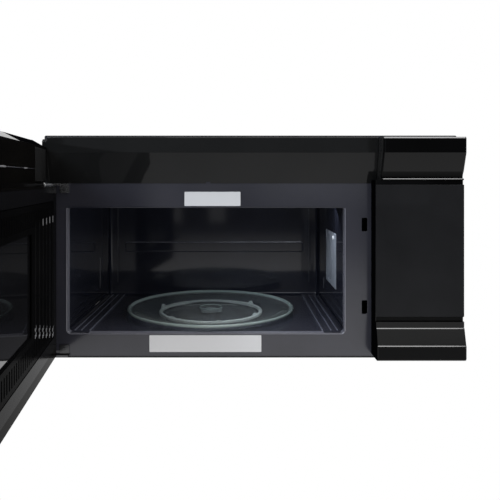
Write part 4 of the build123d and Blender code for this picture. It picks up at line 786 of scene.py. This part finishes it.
glass_top, rim_top = TRAY_Z + TRAY_GLASS, TRAY_Z + TRAY_RISE
dish = [(0.0, TRAY_Z + 0.0012), (0.060, TRAY_Z + 0.0012), (0.063, TRAY_Z + 0.0002)]
dish += [(0.141, TRAY_Z + 0.0002), (0.144, TRAY_Z), (TRAY_FOOT, TRAY_Z)]
dish += [(TRAY_FOOT + 0.004, TRAY_Z + 0.0010)]
dish += arc((TRAY_EDGE, rim_top - TRAY_ROLL), TRAY_ROLL, -60, 165, 12)
dish += [(0.1704, rim_top - 0.0036), (0.1680, glass_top + 0.0006), (0.1600, glass_top + 0.0003)]
dish += [(0.1500, glass_top), (HUB_RADIUS + 0.0030, glass_top)]
dish += arc((HUB_RADIUS, glass_top), HUB_RING, 20, 160)
dish += [(HUB_RADIUS - 0.0030, glass_top), (0.0, glass_top)]
dish = turned(dish, (TRAY_X, TRAY_Y), TRAY_STEPS)
tray = add_piece("glass_tray", dish, "tray_glass", "turntable", replaces="glass_turntable")
tray_middle = Vector((TRAY_X, TRAY_Y))
# The rim and the hub ring take a paler, less clear glass: painted highlight lines
paint_faces(
    tray,
    ("rim_glass_painted_lines", lambda face: (face.center.xy - tray_middle).length > TRAY_LIP),
    ("rim_glass_painted_lines", lambda face: face.center.z > glass_top + 0.0007),
)
tray.modifiers.new("shading", "WEIGHTED_NORMAL").weight = 90


def around(angle, local):
    """Points given outwards, sideways and up from the ring's middle, turned to an angle."""
    a = radians(angle)
    lie = Matrix.Translation((TRAY_X, TRAY_Y, 0)) @ Matrix.Rotation(a, 4, "Z")
    return [lie @ Vector(v) for v in local]


def roller_hoop():
    """Hoop of soft rectangular section with three lugs that point inwards and three pins."""
    half, soft = 0.003, 0.001
    r0, r1 = RING_RADIUS - RING_WIDTH, RING_RADIUS
    z0, z1 = ROLLER_Z - half, ROLLER_Z + half
    section = [(r0 + soft, z0), (r1 - soft, z0), (r1, z0 + soft), (r1, z1 - soft)]
    section += [(r1 - soft, z1), (r0 + soft, z1), (r0, z1 - soft), (r0, z0 + soft)]
    shapes = [turned(section, (TRAY_X, TRAY_Y), HOOP_STEPS)]
    for angle in LUG_ANGLES:
        heights = (ROLLER_Z - 0.002, ROLLER_Z + 0.002)
        verts, faces = box_mesh(*span((r0 - 0.007, r0 + 0.002), (-0.006, 0.006), heights))
        shapes.append((around(angle, verts), faces))
    circle = arc((0, ROLLER_Z), PIN_RADIUS, 0, 360, 16)[:-1]
    pin = [[(r, y, z) for y, z in circle] for r in (RING_RADIUS - 0.002, ROLLER_TRACK + 0.0055)]
    for angle in ROLLER_ANGLES:
        verts, faces = skin_loops(pin, close_last=True)
        shapes.append((around(angle, verts), faces))
    return joined(shapes)


hoop = add_piece("roller_hoop", roller_hoop(), "nylon", "roller_ring", replaces="roller_ring")
soften(hoop, 0.0004, 2)
half_tyre = [(0.00155, 0.0025), (0.0030, 0.0025), (0.0034, 0.0021), (0.0052, 0.0021)]
half_tyre += [(0.0056, 0.0025), (0.0061, 0.0025), (ROLLER_RADIUS, 0.0019)]
tyre = [(r, -z) for r, z in half_tyre] + half_tyre[::-1]
for index, angle in enumerate(ROLLER_ANGLES):
    verts, faces = turned(tyre, (0, 0), WHEEL_STEPS)
    upright = Matrix.Translation((ROLLER_TRACK, 0, ROLLER_Z)) @ Matrix.Rotation(pi / 2, 4, "Y")
    verts = around(angle, [upright @ Vector(v) for v in verts])
    name = f"roller_{index + 1}"
    add_piece(name + "_wheel", (verts, faces), "nylon", name, replaces=name)

# Vent trim

trim_outline = [(Y_FRONT, TRIM_LOW), (Y_FRONT - 0.001, TRIM_LOW), (Y_TRIM, TRIM_NOSE)]
trim_outline += [(Y_TRIM, TRIM_TOP - 0.002), (Y_TRIM + 0.002, TRIM_TOP), (Y_FRONT, TRIM_TOP)]
trim = prism_x(trim_outline, *TRIM_X)
trim = add_piece("vent_trim_moulding", trim, "trim_black", "cabinet", replaces="vent_trim")
louvre_pitch = (TRIM_X[1] - TRIM_X[0] - 2 * LOUVRE_MARGIN) / LOUVRES
cuts = []
for k in range(LOUVRES):
    start = TRIM_X[0] + LOUVRE_MARGIN + k * louvre_pitch
    xs = (start, start + louvre_pitch - LOUVRE_GAP)
    cuts.append(span(xs, (Y_FRONT - 0.011, Y_FRONT - 0.004), (TRIM_TOP - 0.004, TRIM_TOP + 0.001)))
notch = ((-0.082, -0.074), (Y_FRONT - 0.003, Y_FRONT + 0.001), (TRIM_LOW - 0.001, TRIM_LOW + 0.003))
cuts.append(span(*notch))
carve(trim, cuts)
soften(trim, 0.0005, 2, MOULDING_ANGLE)

cap_outline = [(Y_FRONT, TRIM_LOW), (Y_FRONT - 0.001, TRIM_LOW), (Y_TRIM + 0.002, TRIM_NOSE - 0.004)]
cap_outline += [(Y_TRIM + 0.002, CAP_TOP - 0.004), (Y_TRIM + 0.006, CAP_TOP), (Y_FRONT, CAP_TOP)]
cap = prism_x(cap_outline, X_LEFT, TRIM_X[0] - JOIN)
cap = add_piece("trim_left_cap", cap, "trim_black", "cabinet", replaces="trim_end_cap")
soften(cap, 0.0012)

# Control panel and door mouldings


def lower_outline(back_y, top):
    """Side outline below the upper reveal: bottom nose, slant, ledge and the glass's seat."""
    ledge = LOW_SLANT + EDGE_LINE
    groove_y = Y_LEDGE + 2 * GROOVE
    return (
        [(back_y, PANEL_LOW)]
        + arc((Y_NOSE + NOSE_ROUND, PANEL_LOW + NOSE_ROUND), NOSE_ROUND, 270, 180)
        + [(Y_NOSE, LOW_NOSE - EDGE_LINE), (Y_NOSE + EDGE_LINE, LOW_NOSE)]
        + [(Y_LEDGE - EDGE_LINE, LOW_SLANT), (Y_LEDGE, ledge), (groove_y, ledge)]
        + [(groove_y, ledge + GROOVE), (Y_LEDGE, ledge + GROOVE), (Y_LEDGE, GLASS_LOW - REVEAL)]
        + [(Y_SEAT, GLASS_LOW - REVEAL), (Y_SEAT, top), (back_y, top)]
    )


def upper_outline(back_y, low, high, fall):
    """Side outline above the reveal: lip, sunk cove, slant, top nose and a top that falls."""
    deep, foot = Y_COVE + COVE_SINK, COVE_LOW + 0.0004
    lip = Y_COVE - 0.65 * EDGE_LINE
    cove = [(Y_COVE, COVE_LOW), (deep, foot)]
    for step in range(1, 9):
        rise = step / 8
        cove.append((deep - COVE_SINK * rise**2.2, foot + (COVE_HIGH - COVE_LOW) * rise))
    return (
        [(back_y, low), (lip, low), (lip, COVE_LOW - EDGE_LINE)]
        + cove
        + [(Y_NOSE, HIGH_NOSE), (Y_NOSE, high - HIGH_EDGE), (Y_NOSE + 0.8 * HIGH_EDGE, high)]
        + [(back_y, high - fall)]
    )


def flat_front(face):
    """Upright faces that look at the room, without the ledge, and the round under them."""
    on_ledge = LOW_SLANT < face.center.z < GLASS_LOW - REVEAL
    return (face.normal.y < -0.995 and not on_ledge) or face.center.z < PANEL_LOW + NOSE_ROUND


def in_cove(face):
    """Faces of the sunk cove under the upper slant."""
    return face.normal.y < -0.2 and COVE_LOW < face.center.z < COVE_HIGH


def edge_face(face):
    """Narrow faces between an upright and a slant or a top."""
    return face.normal.y < -0.4 and 0.5 < face.normal.z < 0.9


def looks_out(face):
    """Faces on the room's side of the closed door."""
    return face.normal.y < -0.2


def left_side(face):
    """Upright faces that look to the left."""
    return face.normal.x < -0.9


def on_door_top(face):
    """Sloped top of the door."""
    return face.normal.y > -0.2 and face.normal.z > 0.6


def moulding(outline, x0, x1, round_left, round_right, steps=6, breaks=()):
    """Outline drawn out along X whose front draws back in a quarter round at each end."""
    turns = [radians(90 * step / steps) for step in range(steps + 1)]
    stations = [(x0 + round_left * (1 - cos(a)), round_left * (1 - sin(a))) for a in turns]
    stations += [(x, 0.0) for x in breaks]
    stations += [(x1 - round_right * (1 - cos(a)), round_right * (1 - sin(a))) for a in turns[::-1]]
    back = max(y for y, _ in outline)
    loops = [[(x, min(y + shift, back), z) for y, z in outline] for x, shift in stations]
    return skin_loops(loops, close_first=True, close_last=True)


shape = moulding(lower_outline(Y_FRONT, LIP_LOW - JOIN), PANEL_LEFT, X_RIGHT, 0.0010, 0.0025)
panel_lower = add_piece("panel_lower", shape, "panel_black", "cabinet", replaces="control_housing")
paint_faces(panel_lower, ("nose_black", flat_front), ("matt_black", left_side), ("edge_black", edge_face))
soften(panel_lower, 0.0003, 2, MOULDING_ANGLE)
outline = upper_outline(Y_FRONT, LIP_LOW - 2 * JOIN, PANEL_HIGH, 0.0)
shape = moulding(outline, BULGE_LEFT, X_RIGHT, END_ROUND, 0.0030)
panel_upper = add_piece("panel_upper", shape, "panel_black", "cabinet")
# The left side takes a much lighter black: a painted lit side
paint_faces(
    panel_upper,
    ("nose_black", flat_front),
    ("nose_black", in_cove),
    ("nose_black", lambda face: -0.9 < face.normal.x < -0.2),
    ("painted_lit_black", left_side),
    ("edge_black", edge_face),
)
soften(panel_upper, 0.0003, 2, MOULDING_ANGLE)
pane = span((PANEL_LEFT, X_RIGHT), GLASS_Y, (GLASS_LOW, GLASS_HIGH))
glass_slab("panel_glass", pane, 0.0011, "glass_black", "cabinet", replaces="control_glass")

# Door skin: the same outlines, open behind for the choke frame and in front for the window
shape = prism_x(lower_outline(Y_SKIN, LIP_LOW + 2 * JOIN), X_LEFT, DOOR_RIGHT)
skin_low = add_piece("door_skin_lower", shape, "door_black", "door", replaces="door_skin")
behind = (Y_SEAT + 0.0022, Y_SKIN + 0.001)
through = (Y_SEAT - 0.001, Y_SEAT + 0.003)
over_shoulder = (Y_SHOULDER, Y_SKIN + 0.001)
seat_x = (CHOKE_X[0] + POCKET_MARGIN, CHOKE_X[1] - POCKET_MARGIN)
seat_z = (CHOKE_Z[0] + POCKET_MARGIN, CHOKE_Z[1] - POCKET_MARGIN)
window_x = (CHOKE_X[0] + WINDOW_LEFT, CHOKE_X[1] - WINDOW_RIGHT)
pocket = [
    span(seat_x, behind, seat_z),
    span(window_x, through, (GLASS_LOW + WINDOW_MARGIN, GLASS_HIGH - WINDOW_MARGIN)),
    span((X_LEFT - 0.001, -0.362), behind, (SHOULDER_Z, SHOULDER_Z + 0.006)),
    span((X_LEFT - 0.001, DOOR_RIGHT + 0.001), over_shoulder, (SHOULDER_Z, SHOULDER_Z + 0.020)),
]
for level in SLOT_LEVELS:
    xs, ys = (SLOT_X - 0.005, SLOT_X + 0.005), (Y_SKIN - 0.0115, Y_SKIN + 0.001)
    pocket.append(span(xs, ys, (level - 0.012, level + 0.012)))
carve(skin_low, pocket)
paint_faces(skin_low, ("panel_black", looks_out), ("nose_black", flat_front), ("edge_black", edge_face))
soften(skin_low, 0.0005, 2, MOULDING_ANGLE)
outline = upper_outline(Y_SHOULDER, LIP_LOW + JOIN, DOOR_TOP, DOOR_FALL)
shape = moulding(outline, X_LEFT, DOOR_BULGE, 0.0020, END_ROUND, breaks=(GLOSS_START,))
skin_high = add_piece("door_skin_upper", shape, "door_black", "door")
paint_faces(
    skin_high,
    ("panel_black", looks_out),
    ("nose_black", flat_front),
    ("nose_black", in_cove),
    ("edge_black", edge_face),
    ("matt_black", on_door_top),
    ("door_gloss", lambda face: on_door_top(face) and face.center.x > GLOSS_START),
)
soften(skin_high, 0.0004, 2, MOULDING_ANGLE)
pane = span((X_LEFT, DOOR_RIGHT), GLASS_Y, (GLASS_LOW, GLASS_HIGH))
glass_slab("door_outer_glass", pane, 0.0007, "glass_black", "door", replaces="door_glass")

# Seam along the upper moulding's inner side in a lighter paint as a painted glint line, its two clips in a
# bright paint as painted glints, and the block beside the hinge in a painted lighter black


def on_shoulder(xs, proud, zs):
    """Box that stands proud of the upper moulding's inner side."""
    return span(xs, (Y_SHOULDER - SUNK, Y_SHOULDER + proud), zs)


def door_trim(name, pairs, surface, edge):
    """Small soft-edged boxes of the door, as one piece."""
    soften(add_piece(name, boxes_mesh(pairs), surface, "door", slot="black_plastic"), edge)


seam = on_shoulder((-0.283, DOOR_BULGE - 0.010), 0.0010, (SEAM_Z - 0.0006, SEAM_Z + 0.0006))
door_trim("door_seam", [seam], "bead_paint", 0.0004)
clips = []
for xs in ((-0.231, -0.214), (-0.110, -0.050)):
    clips.append(on_shoulder(xs, 0.0014, (SEAM_Z - 0.0012, SEAM_Z + 0.0012)))
door_trim("seam_clip_glints", clips, "lug_sheen", 0.0005)
block = on_shoulder((-0.372, -0.290), 0.0012, (SHOULDER_Z + 0.009, DOOR_TOP - DOOR_FALL - 0.004))
door_trim("door_end_block", [block], "painted_lit_black", 0.0006)

# Inner side of the door

BORDER = STRIP + CHOKE_RING
cover_outline = inset_rect(CHOKE_X, CHOKE_Z, STRIP + 0.001, 0.004, 4)
window_x = (CHOKE_X[0] + HINGE_BORDER, CHOKE_X[1])
window_outline = inset_rect(window_x, CHOKE_Z, BORDER, 0.006, 4)
comb_count = int((CHOKE_X[1] - CHOKE_X[0] - 2 * BORDER) // COMB_PITCH)
comb_start = (CHOKE_X[0] + CHOKE_X[1] - comb_count * COMB_PITCH) / 2
comb = []
for k in range(comb_count):
    x = comb_start + k * COMB_PITCH
    for z in (CHOKE_Z[0] + STRIP + 0.009, CHOKE_Z[1] - BORDER + 0.008):
        comb.append(round_rect((x, z), (x + COMB_GAP, z + CHOKE_RING - 0.018), 0.0012, 3))
outlines = [cover_outline, window_outline] + comb
plate(
    "choke_cover_ring", outlines, Y_COVER - COVER_SHEET, COVER_SHEET, SHEET_EDGE, "choke_black", "door",
    replaces="choke_cover",
)
lip_front, lip_back = Y_COVER - COVER_SHEET / 2, Y_CHOKE - 0.0080
lip_loops = [
    at_depth(inset_rect(CHOKE_X, CHOKE_Z, BORDER - lap, 0.004, 4), y)
    for lap, y in ((0.0002, lip_front), (0.0002, lip_back), (0.0016, lip_back), (0.0016, lip_front))
]
add_piece("choke_cover_lip", skin_loops(lip_loops + lip_loops[:1]), "choke_black", "door")

hinge_ribs = [CHOKE_X[0] + STRIP + RIB_START + k * HINGE_PITCH for k in range(6)]
latch_ribs = [CHOKE_X[1] - STRIP - RIB_START - k * LATCH_PITCH - RIB_WIDTH for k in range(3)]


def on_cover(x0, x1, proud, z0, z1):
    """Box that stands proud of the choke cover."""
    return span((x0, x1), (Y_COVER - 0.0004, Y_COVER + proud), (z0, z1))


def rib_foot(x):
    """Lower end of a rib beside the hinge, higher the further it stands from it."""
    return HINGE_RIB_LOW + RIB_CLIMB * (x - hinge_ribs[0])


bars = [on_cover(x, x + RIB_WIDTH, RIB_PROUD, rib_foot(x), HINGE_RIB_HIGH) for x in hinge_ribs]
bars += [on_cover(x, x + RIB_WIDTH, RIB_PROUD, RIB_LOW, RIB_HIGH) for x in latch_ribs]
soften(add_piece("choke_cover_ribs", boxes_mesh(bars), "door_gloss", "door"), 0.0004)

# Lugs where the ribs beside the hinge end, in a bright paint as painted glints
lugs = []
for x in hinge_ribs[:4]:
    lugs.append(on_cover(x, x + RIB_WIDTH, LUG_PROUD, HINGE_RIB_HIGH - 0.011, HINGE_RIB_HIGH))
for x in hinge_ribs:
    for low in (rib_foot(x) + 0.004, rib_foot(x) - 0.006):
        lugs.append(on_cover(x - 0.002, x + 0.0005, LUG_PROUD, low, low + 0.007))
        lugs.append(on_cover(x + 0.003, x + 0.0055, LUG_PROUD, low - 0.002, low + 0.004))
soften(add_piece("choke_cover_lug_glints", boxes_mesh(lugs), "lug_sheen", "door"), 0.0004)

fit = BORDER + JOIN
xs, zs = (CHOKE_X[0] + fit, CHOKE_X[1] - fit), (CHOKE_Z[0] + fit, CHOKE_Z[1] - fit)
pane = span(xs, (Y_CHOKE - 0.0082, Y_CHOKE - 0.0042), zs)
glass_slab("window_inner_pane", pane, 0.0006, "window_pane", "door", replaces="inner_pane")

# Handle


def signed_power(value, power):
    """Power of a number's size that keeps its sign."""
    return abs(value) ** power * (1 if value >= 0 else -1)


def handle_loft():
    """Upright bar whose oval section draws in towards its rounded ends."""
    rows, sides = 40, 28
    half = (HANDLE_Z[1] - HANDLE_Z[0]) / 2
    middle = (HANDLE_Z[0] + HANDLE_Z[1]) / 2
    loops = []
    for row in range(rows + 1):
        height = sin((-1 + 2 * row / rows) * pi / 2)
        reach = abs(height)
        squeeze = (1 - reach**14) ** 0.5 if reach < 1 else 0.0
        squeeze = max(squeeze, 0.25) * (1 - 0.10 * reach**2)
        width = HANDLE_WIDTH / 2 * squeeze
        depth = HANDLE_THICK / 2 * (0.55 + 0.45 * squeeze)
        loop = []
        for a in all_round(sides):
            x = HANDLE_X + width * signed_power(cos(a), 0.6)
            y = HANDLE_BACK - HANDLE_THICK / 2 + depth * signed_power(sin(a), 0.6)
            loop.append((x, y, middle + half * height))
        loops.append(loop)
    return skin_loops(loops, close_first=True, close_last=True)


def stem(level):
    """Post from the door's glass to the bar, wider at both ends."""
    loops = []
    for step in range(9):
        t = step / 8
        flare = 1 + 0.22 * (abs(2 * t - 1) ** 3) - 0.22
        x, z = STEM_X * flare, STEM_Z * flare
        outline = round_rect((HANDLE_X - x, level - z), (HANDLE_X + x, level + z), 0.004 * flare, 5)
        loops.append(at_depth(outline, Y_GLASS - 0.0001 + (HANDLE_BACK - Y_GLASS + 0.0004) * t))
    return skin_loops(loops, close_first=True, close_last=True)


add_piece("handle_grip", handle_loft(), "panel_black", "door", replaces="handle_bar")
stems = joined([stem(level) for level in STEM_LEVELS])
even_shading(add_piece("handle_stems", stems, "panel_black", "door", replaces="handle_posts"))

# Bare labels and small fixings


def label(name, low, high):
    """Bare white sticker with rounded corners on the front frame."""
    outline = round_rect(low, high, 0.0012, 4)
    plate(name, [outline], Y_FRONT - 0.00022, 0.0002, 0.00003, "paper", "cabinet")


label("upper_sticker", (-0.1217, 0.2793), (-0.0186, 0.3054))
label("lower_sticker", (-0.1863, 0.0104), (0.0198, 0.0412))


def screw_head(name, place, radius):
    """Low domed head with a cross recess, facing the room."""
    x, y, z = place
    profile = [(0.0, 0.10), (0.35, 0.095), (0.7, 0.08), (0.92, 0.04), (1.0, 0.0)]
    steps = 24
    verts = [(x, y - profile[0][1] * radius, z)]
    for r, h in profile[1:]:
        for a in all_round(steps):
            cross = min(abs(sin(a)), abs(cos(a)))
            sink = 0.30 * radius if r < 0.6 and cross < 0.3 else 0.0
            verts.append((x + r * radius * cos(a), y - h * radius + sink, z + r * radius * sin(a)))
    faces = [(0, 1 + (k + 1) % steps, 1 + k) for k in range(steps)]
    for ring in range(1, 1 + steps * (len(profile) - 2), steps):
        for k in range(steps):
            a, b = ring + k, ring + (k + 1) % steps
            faces.append((a, b, b + steps, a + steps))
    add_piece(name, (verts, faces), "dark_steel", "cabinet")


for index, z in enumerate((0.311, 0.016)):
    screw_head(f"hinge_screw_{index + 1}", (-0.3425, Y_FRONT - 0.0015, z), 0.0034)

# Room, light and camera

STAGE_REACH, STAGE_Z = 14.0, -0.0004
# Painted glow of the floor for mirrored and bounced rays, with painted shade under the oven's front and
# towards its left
FLOOR_DARK_Y, FLOOR_BRIGHT_Y = -2.1, -0.2
UNDER_BRIGHT_Y, UNDER_DARK_Y = -0.205, -0.12
FLOOR_DARK_X, FLOOR_BRIGHT_X, LEFT_PAINTED_SHADE = -0.45, 0.25, 0.80
FLOOR_GLOW, FAR_GLOW, UNDER_PAINTED_SHADE = 1.25, 0.04, 0.15


def faded(tree, vector, axis, start, end, low, high, course="LINEAR"):
    """Change of a value from low to high along one axis of a vector."""
    split = add_node(tree, "SeparateXYZ")
    fade = add_node(tree, "MapRange", From_Min=start, From_Max=end, To_Min=low, To_Max=high)
    fade.interpolation_type = course
    tree.links.new(vector, split.inputs["Vector"])
    tree.links.new(split.outputs[axis], fade.inputs["Value"])
    return fade.outputs["Result"]


def stage_floor():
    """Wide pale floor: plain white to look at; for mirrored and bounced rays a painted glow that fades far
    off, with painted shade under the oven's front and towards its left.
    """
    near, far, z = -STAGE_REACH, STAGE_REACH, STAGE_Z
    mesh = bpy.data.meshes.new("studio_floor")
    mesh.from_pydata([(near, near, z), (far, near, z), (far, far, z), (near, far, z)], [], [(0, 1, 2, 3)])
    pale = finish_of("floor_pale", (0.03, 0.03, 0.03), rough=0.7, specular=0.1, variation=0.0)
    tree = pale.node_tree
    shader = tree.nodes["Principled BSDF"]
    shader.inputs["Emission Color"].default_value = (1, 1, 1, 1)
    place = add_node(tree, "TexCoord").outputs["Object"]
    glow = faded(tree, place, "Y", FLOOR_DARK_Y, FLOOR_BRIGHT_Y, FAR_GLOW, FLOOR_GLOW)
    for share in (
        faded(tree, place, "X", FLOOR_DARK_X, FLOOR_BRIGHT_X, LEFT_PAINTED_SHADE, 1.0, "SMOOTHSTEP"),
        faded(tree, place, "Y", UNDER_BRIGHT_Y, UNDER_DARK_Y, 1.0, UNDER_PAINTED_SHADE, "SMOOTHSTEP"),
    ):
        glow = calculated(tree, "MULTIPLY", glow, share)
    tree.links.new(glow, shader.inputs["Emission Strength"])
    seen = add_node(tree, "LightPath").outputs["Is Camera Ray"]
    white = add_node(tree, "Emission").outputs["Emission"]
    mixed(tree, seen, shader.outputs["BSDF"], white, "Material Output")
    mesh.materials.append(pale)
    new_object("studio_floor", mesh)


def soft_light(name, place, aim, size, power, tint=(1, 1, 1)):
    """Rectangular soft light that looks at a point and isn't seen itself."""
    data = bpy.data.lights.new(name, "AREA")
    data.shape = "RECTANGLE"
    data.size, data.size_y = size
    data.energy = power
    data.color = tint
    lamp = new_object(name, data)
    lamp.location = place
    lamp.rotation_mode = "QUATERNION"
    lamp.rotation_quaternion = (Vector(aim) - Vector(place)).to_track_quat("-Z", "Y")
    lamp.visible_camera = False


def studio_world():
    """Surroundings that are light behind the oven and darker before it, and white to look at."""
    world = bpy.data.worlds.new("studio")
    bpy.context.scene.world = world
    world.use_nodes = True
    tree = world.node_tree
    background = tree.nodes["Background"]
    direction = add_node(tree, "TexCoord").outputs["Generated"]
    tree.links.new(faded(tree, direction, "Y", -0.75, 0.25, 0.05, 1.0), background.inputs["Color"])
    background.inputs["Strength"].default_value = 1.0
    open_sky = add_node(tree, "Background", Color=(1, 1, 1, 1))
    seen = add_node(tree, "LightPath").outputs["Is Camera Ray"]
    mixed(tree, seen, background.outputs["Background"], open_sky.outputs["Background"], "World Output")


def front_camera():
    """Level camera before the oven, as the photograph's."""
    lens = bpy.data.cameras.new("front_camera")
    lens.lens = CAMERA_LENS
    lens.sensor_width = SENSOR_WIDTH
    lens.shift_x, lens.shift_y = CAMERA_SHIFT
    lens.clip_start = NEAR_CLIP
    camera = new_object("front_camera", lens)
    camera.location = CAMERA_PLACE
    camera.rotation_euler = (radians(90), 0, 0)
    bpy.context.scene.camera = camera


stage_floor()
soft_light("overhead", (0.45, -0.9, 2.4), (0.45, -0.9, 0.0), (1.7, 1.1), 34.0)
soft_light("front_left", (-1.5, -2.4, 1.5), (0.05, 0.0, 0.15), (0.7, 0.9), 40.0, (0.80, 0.89, 1.0))
soft_light("front_high", (0.7, -2.8, 1.25), (0.0, 0.0, 0.1), (2.6, 0.9), 8.0)
soft_light("front_low", (-0.15, -3.0, 0.55), (0.0, 0.0, 0.15), (2.0, 0.5), 0.8, (0.85, 0.92, 1.0))
soft_light("cavity_glow", (0.06, -0.13, 0.270), (0.03, -0.02, 0.045), (0.30, 0.05), 0.38, (0.82, 0.89, 1.0))
soft_light("horizon", (0.65, -3.0, 0.285), (0.1, 0.0, 0.3), (1.1, 0.23), 0.4, (0.88, 0.92, 1.0))
for index, x in enumerate((-0.49, -0.17)):
    soft_light(f"streak_{index + 1}", (x, -2.7, 0.16), (x * 0.4, 0.1, 0.2), (0.12, 0.30), 0.05)
studio_world()
front_camera()
bpy.context.scene.view_settings.view_transform = "Standard"
bpy.context.scene.view_settings.look = "None"
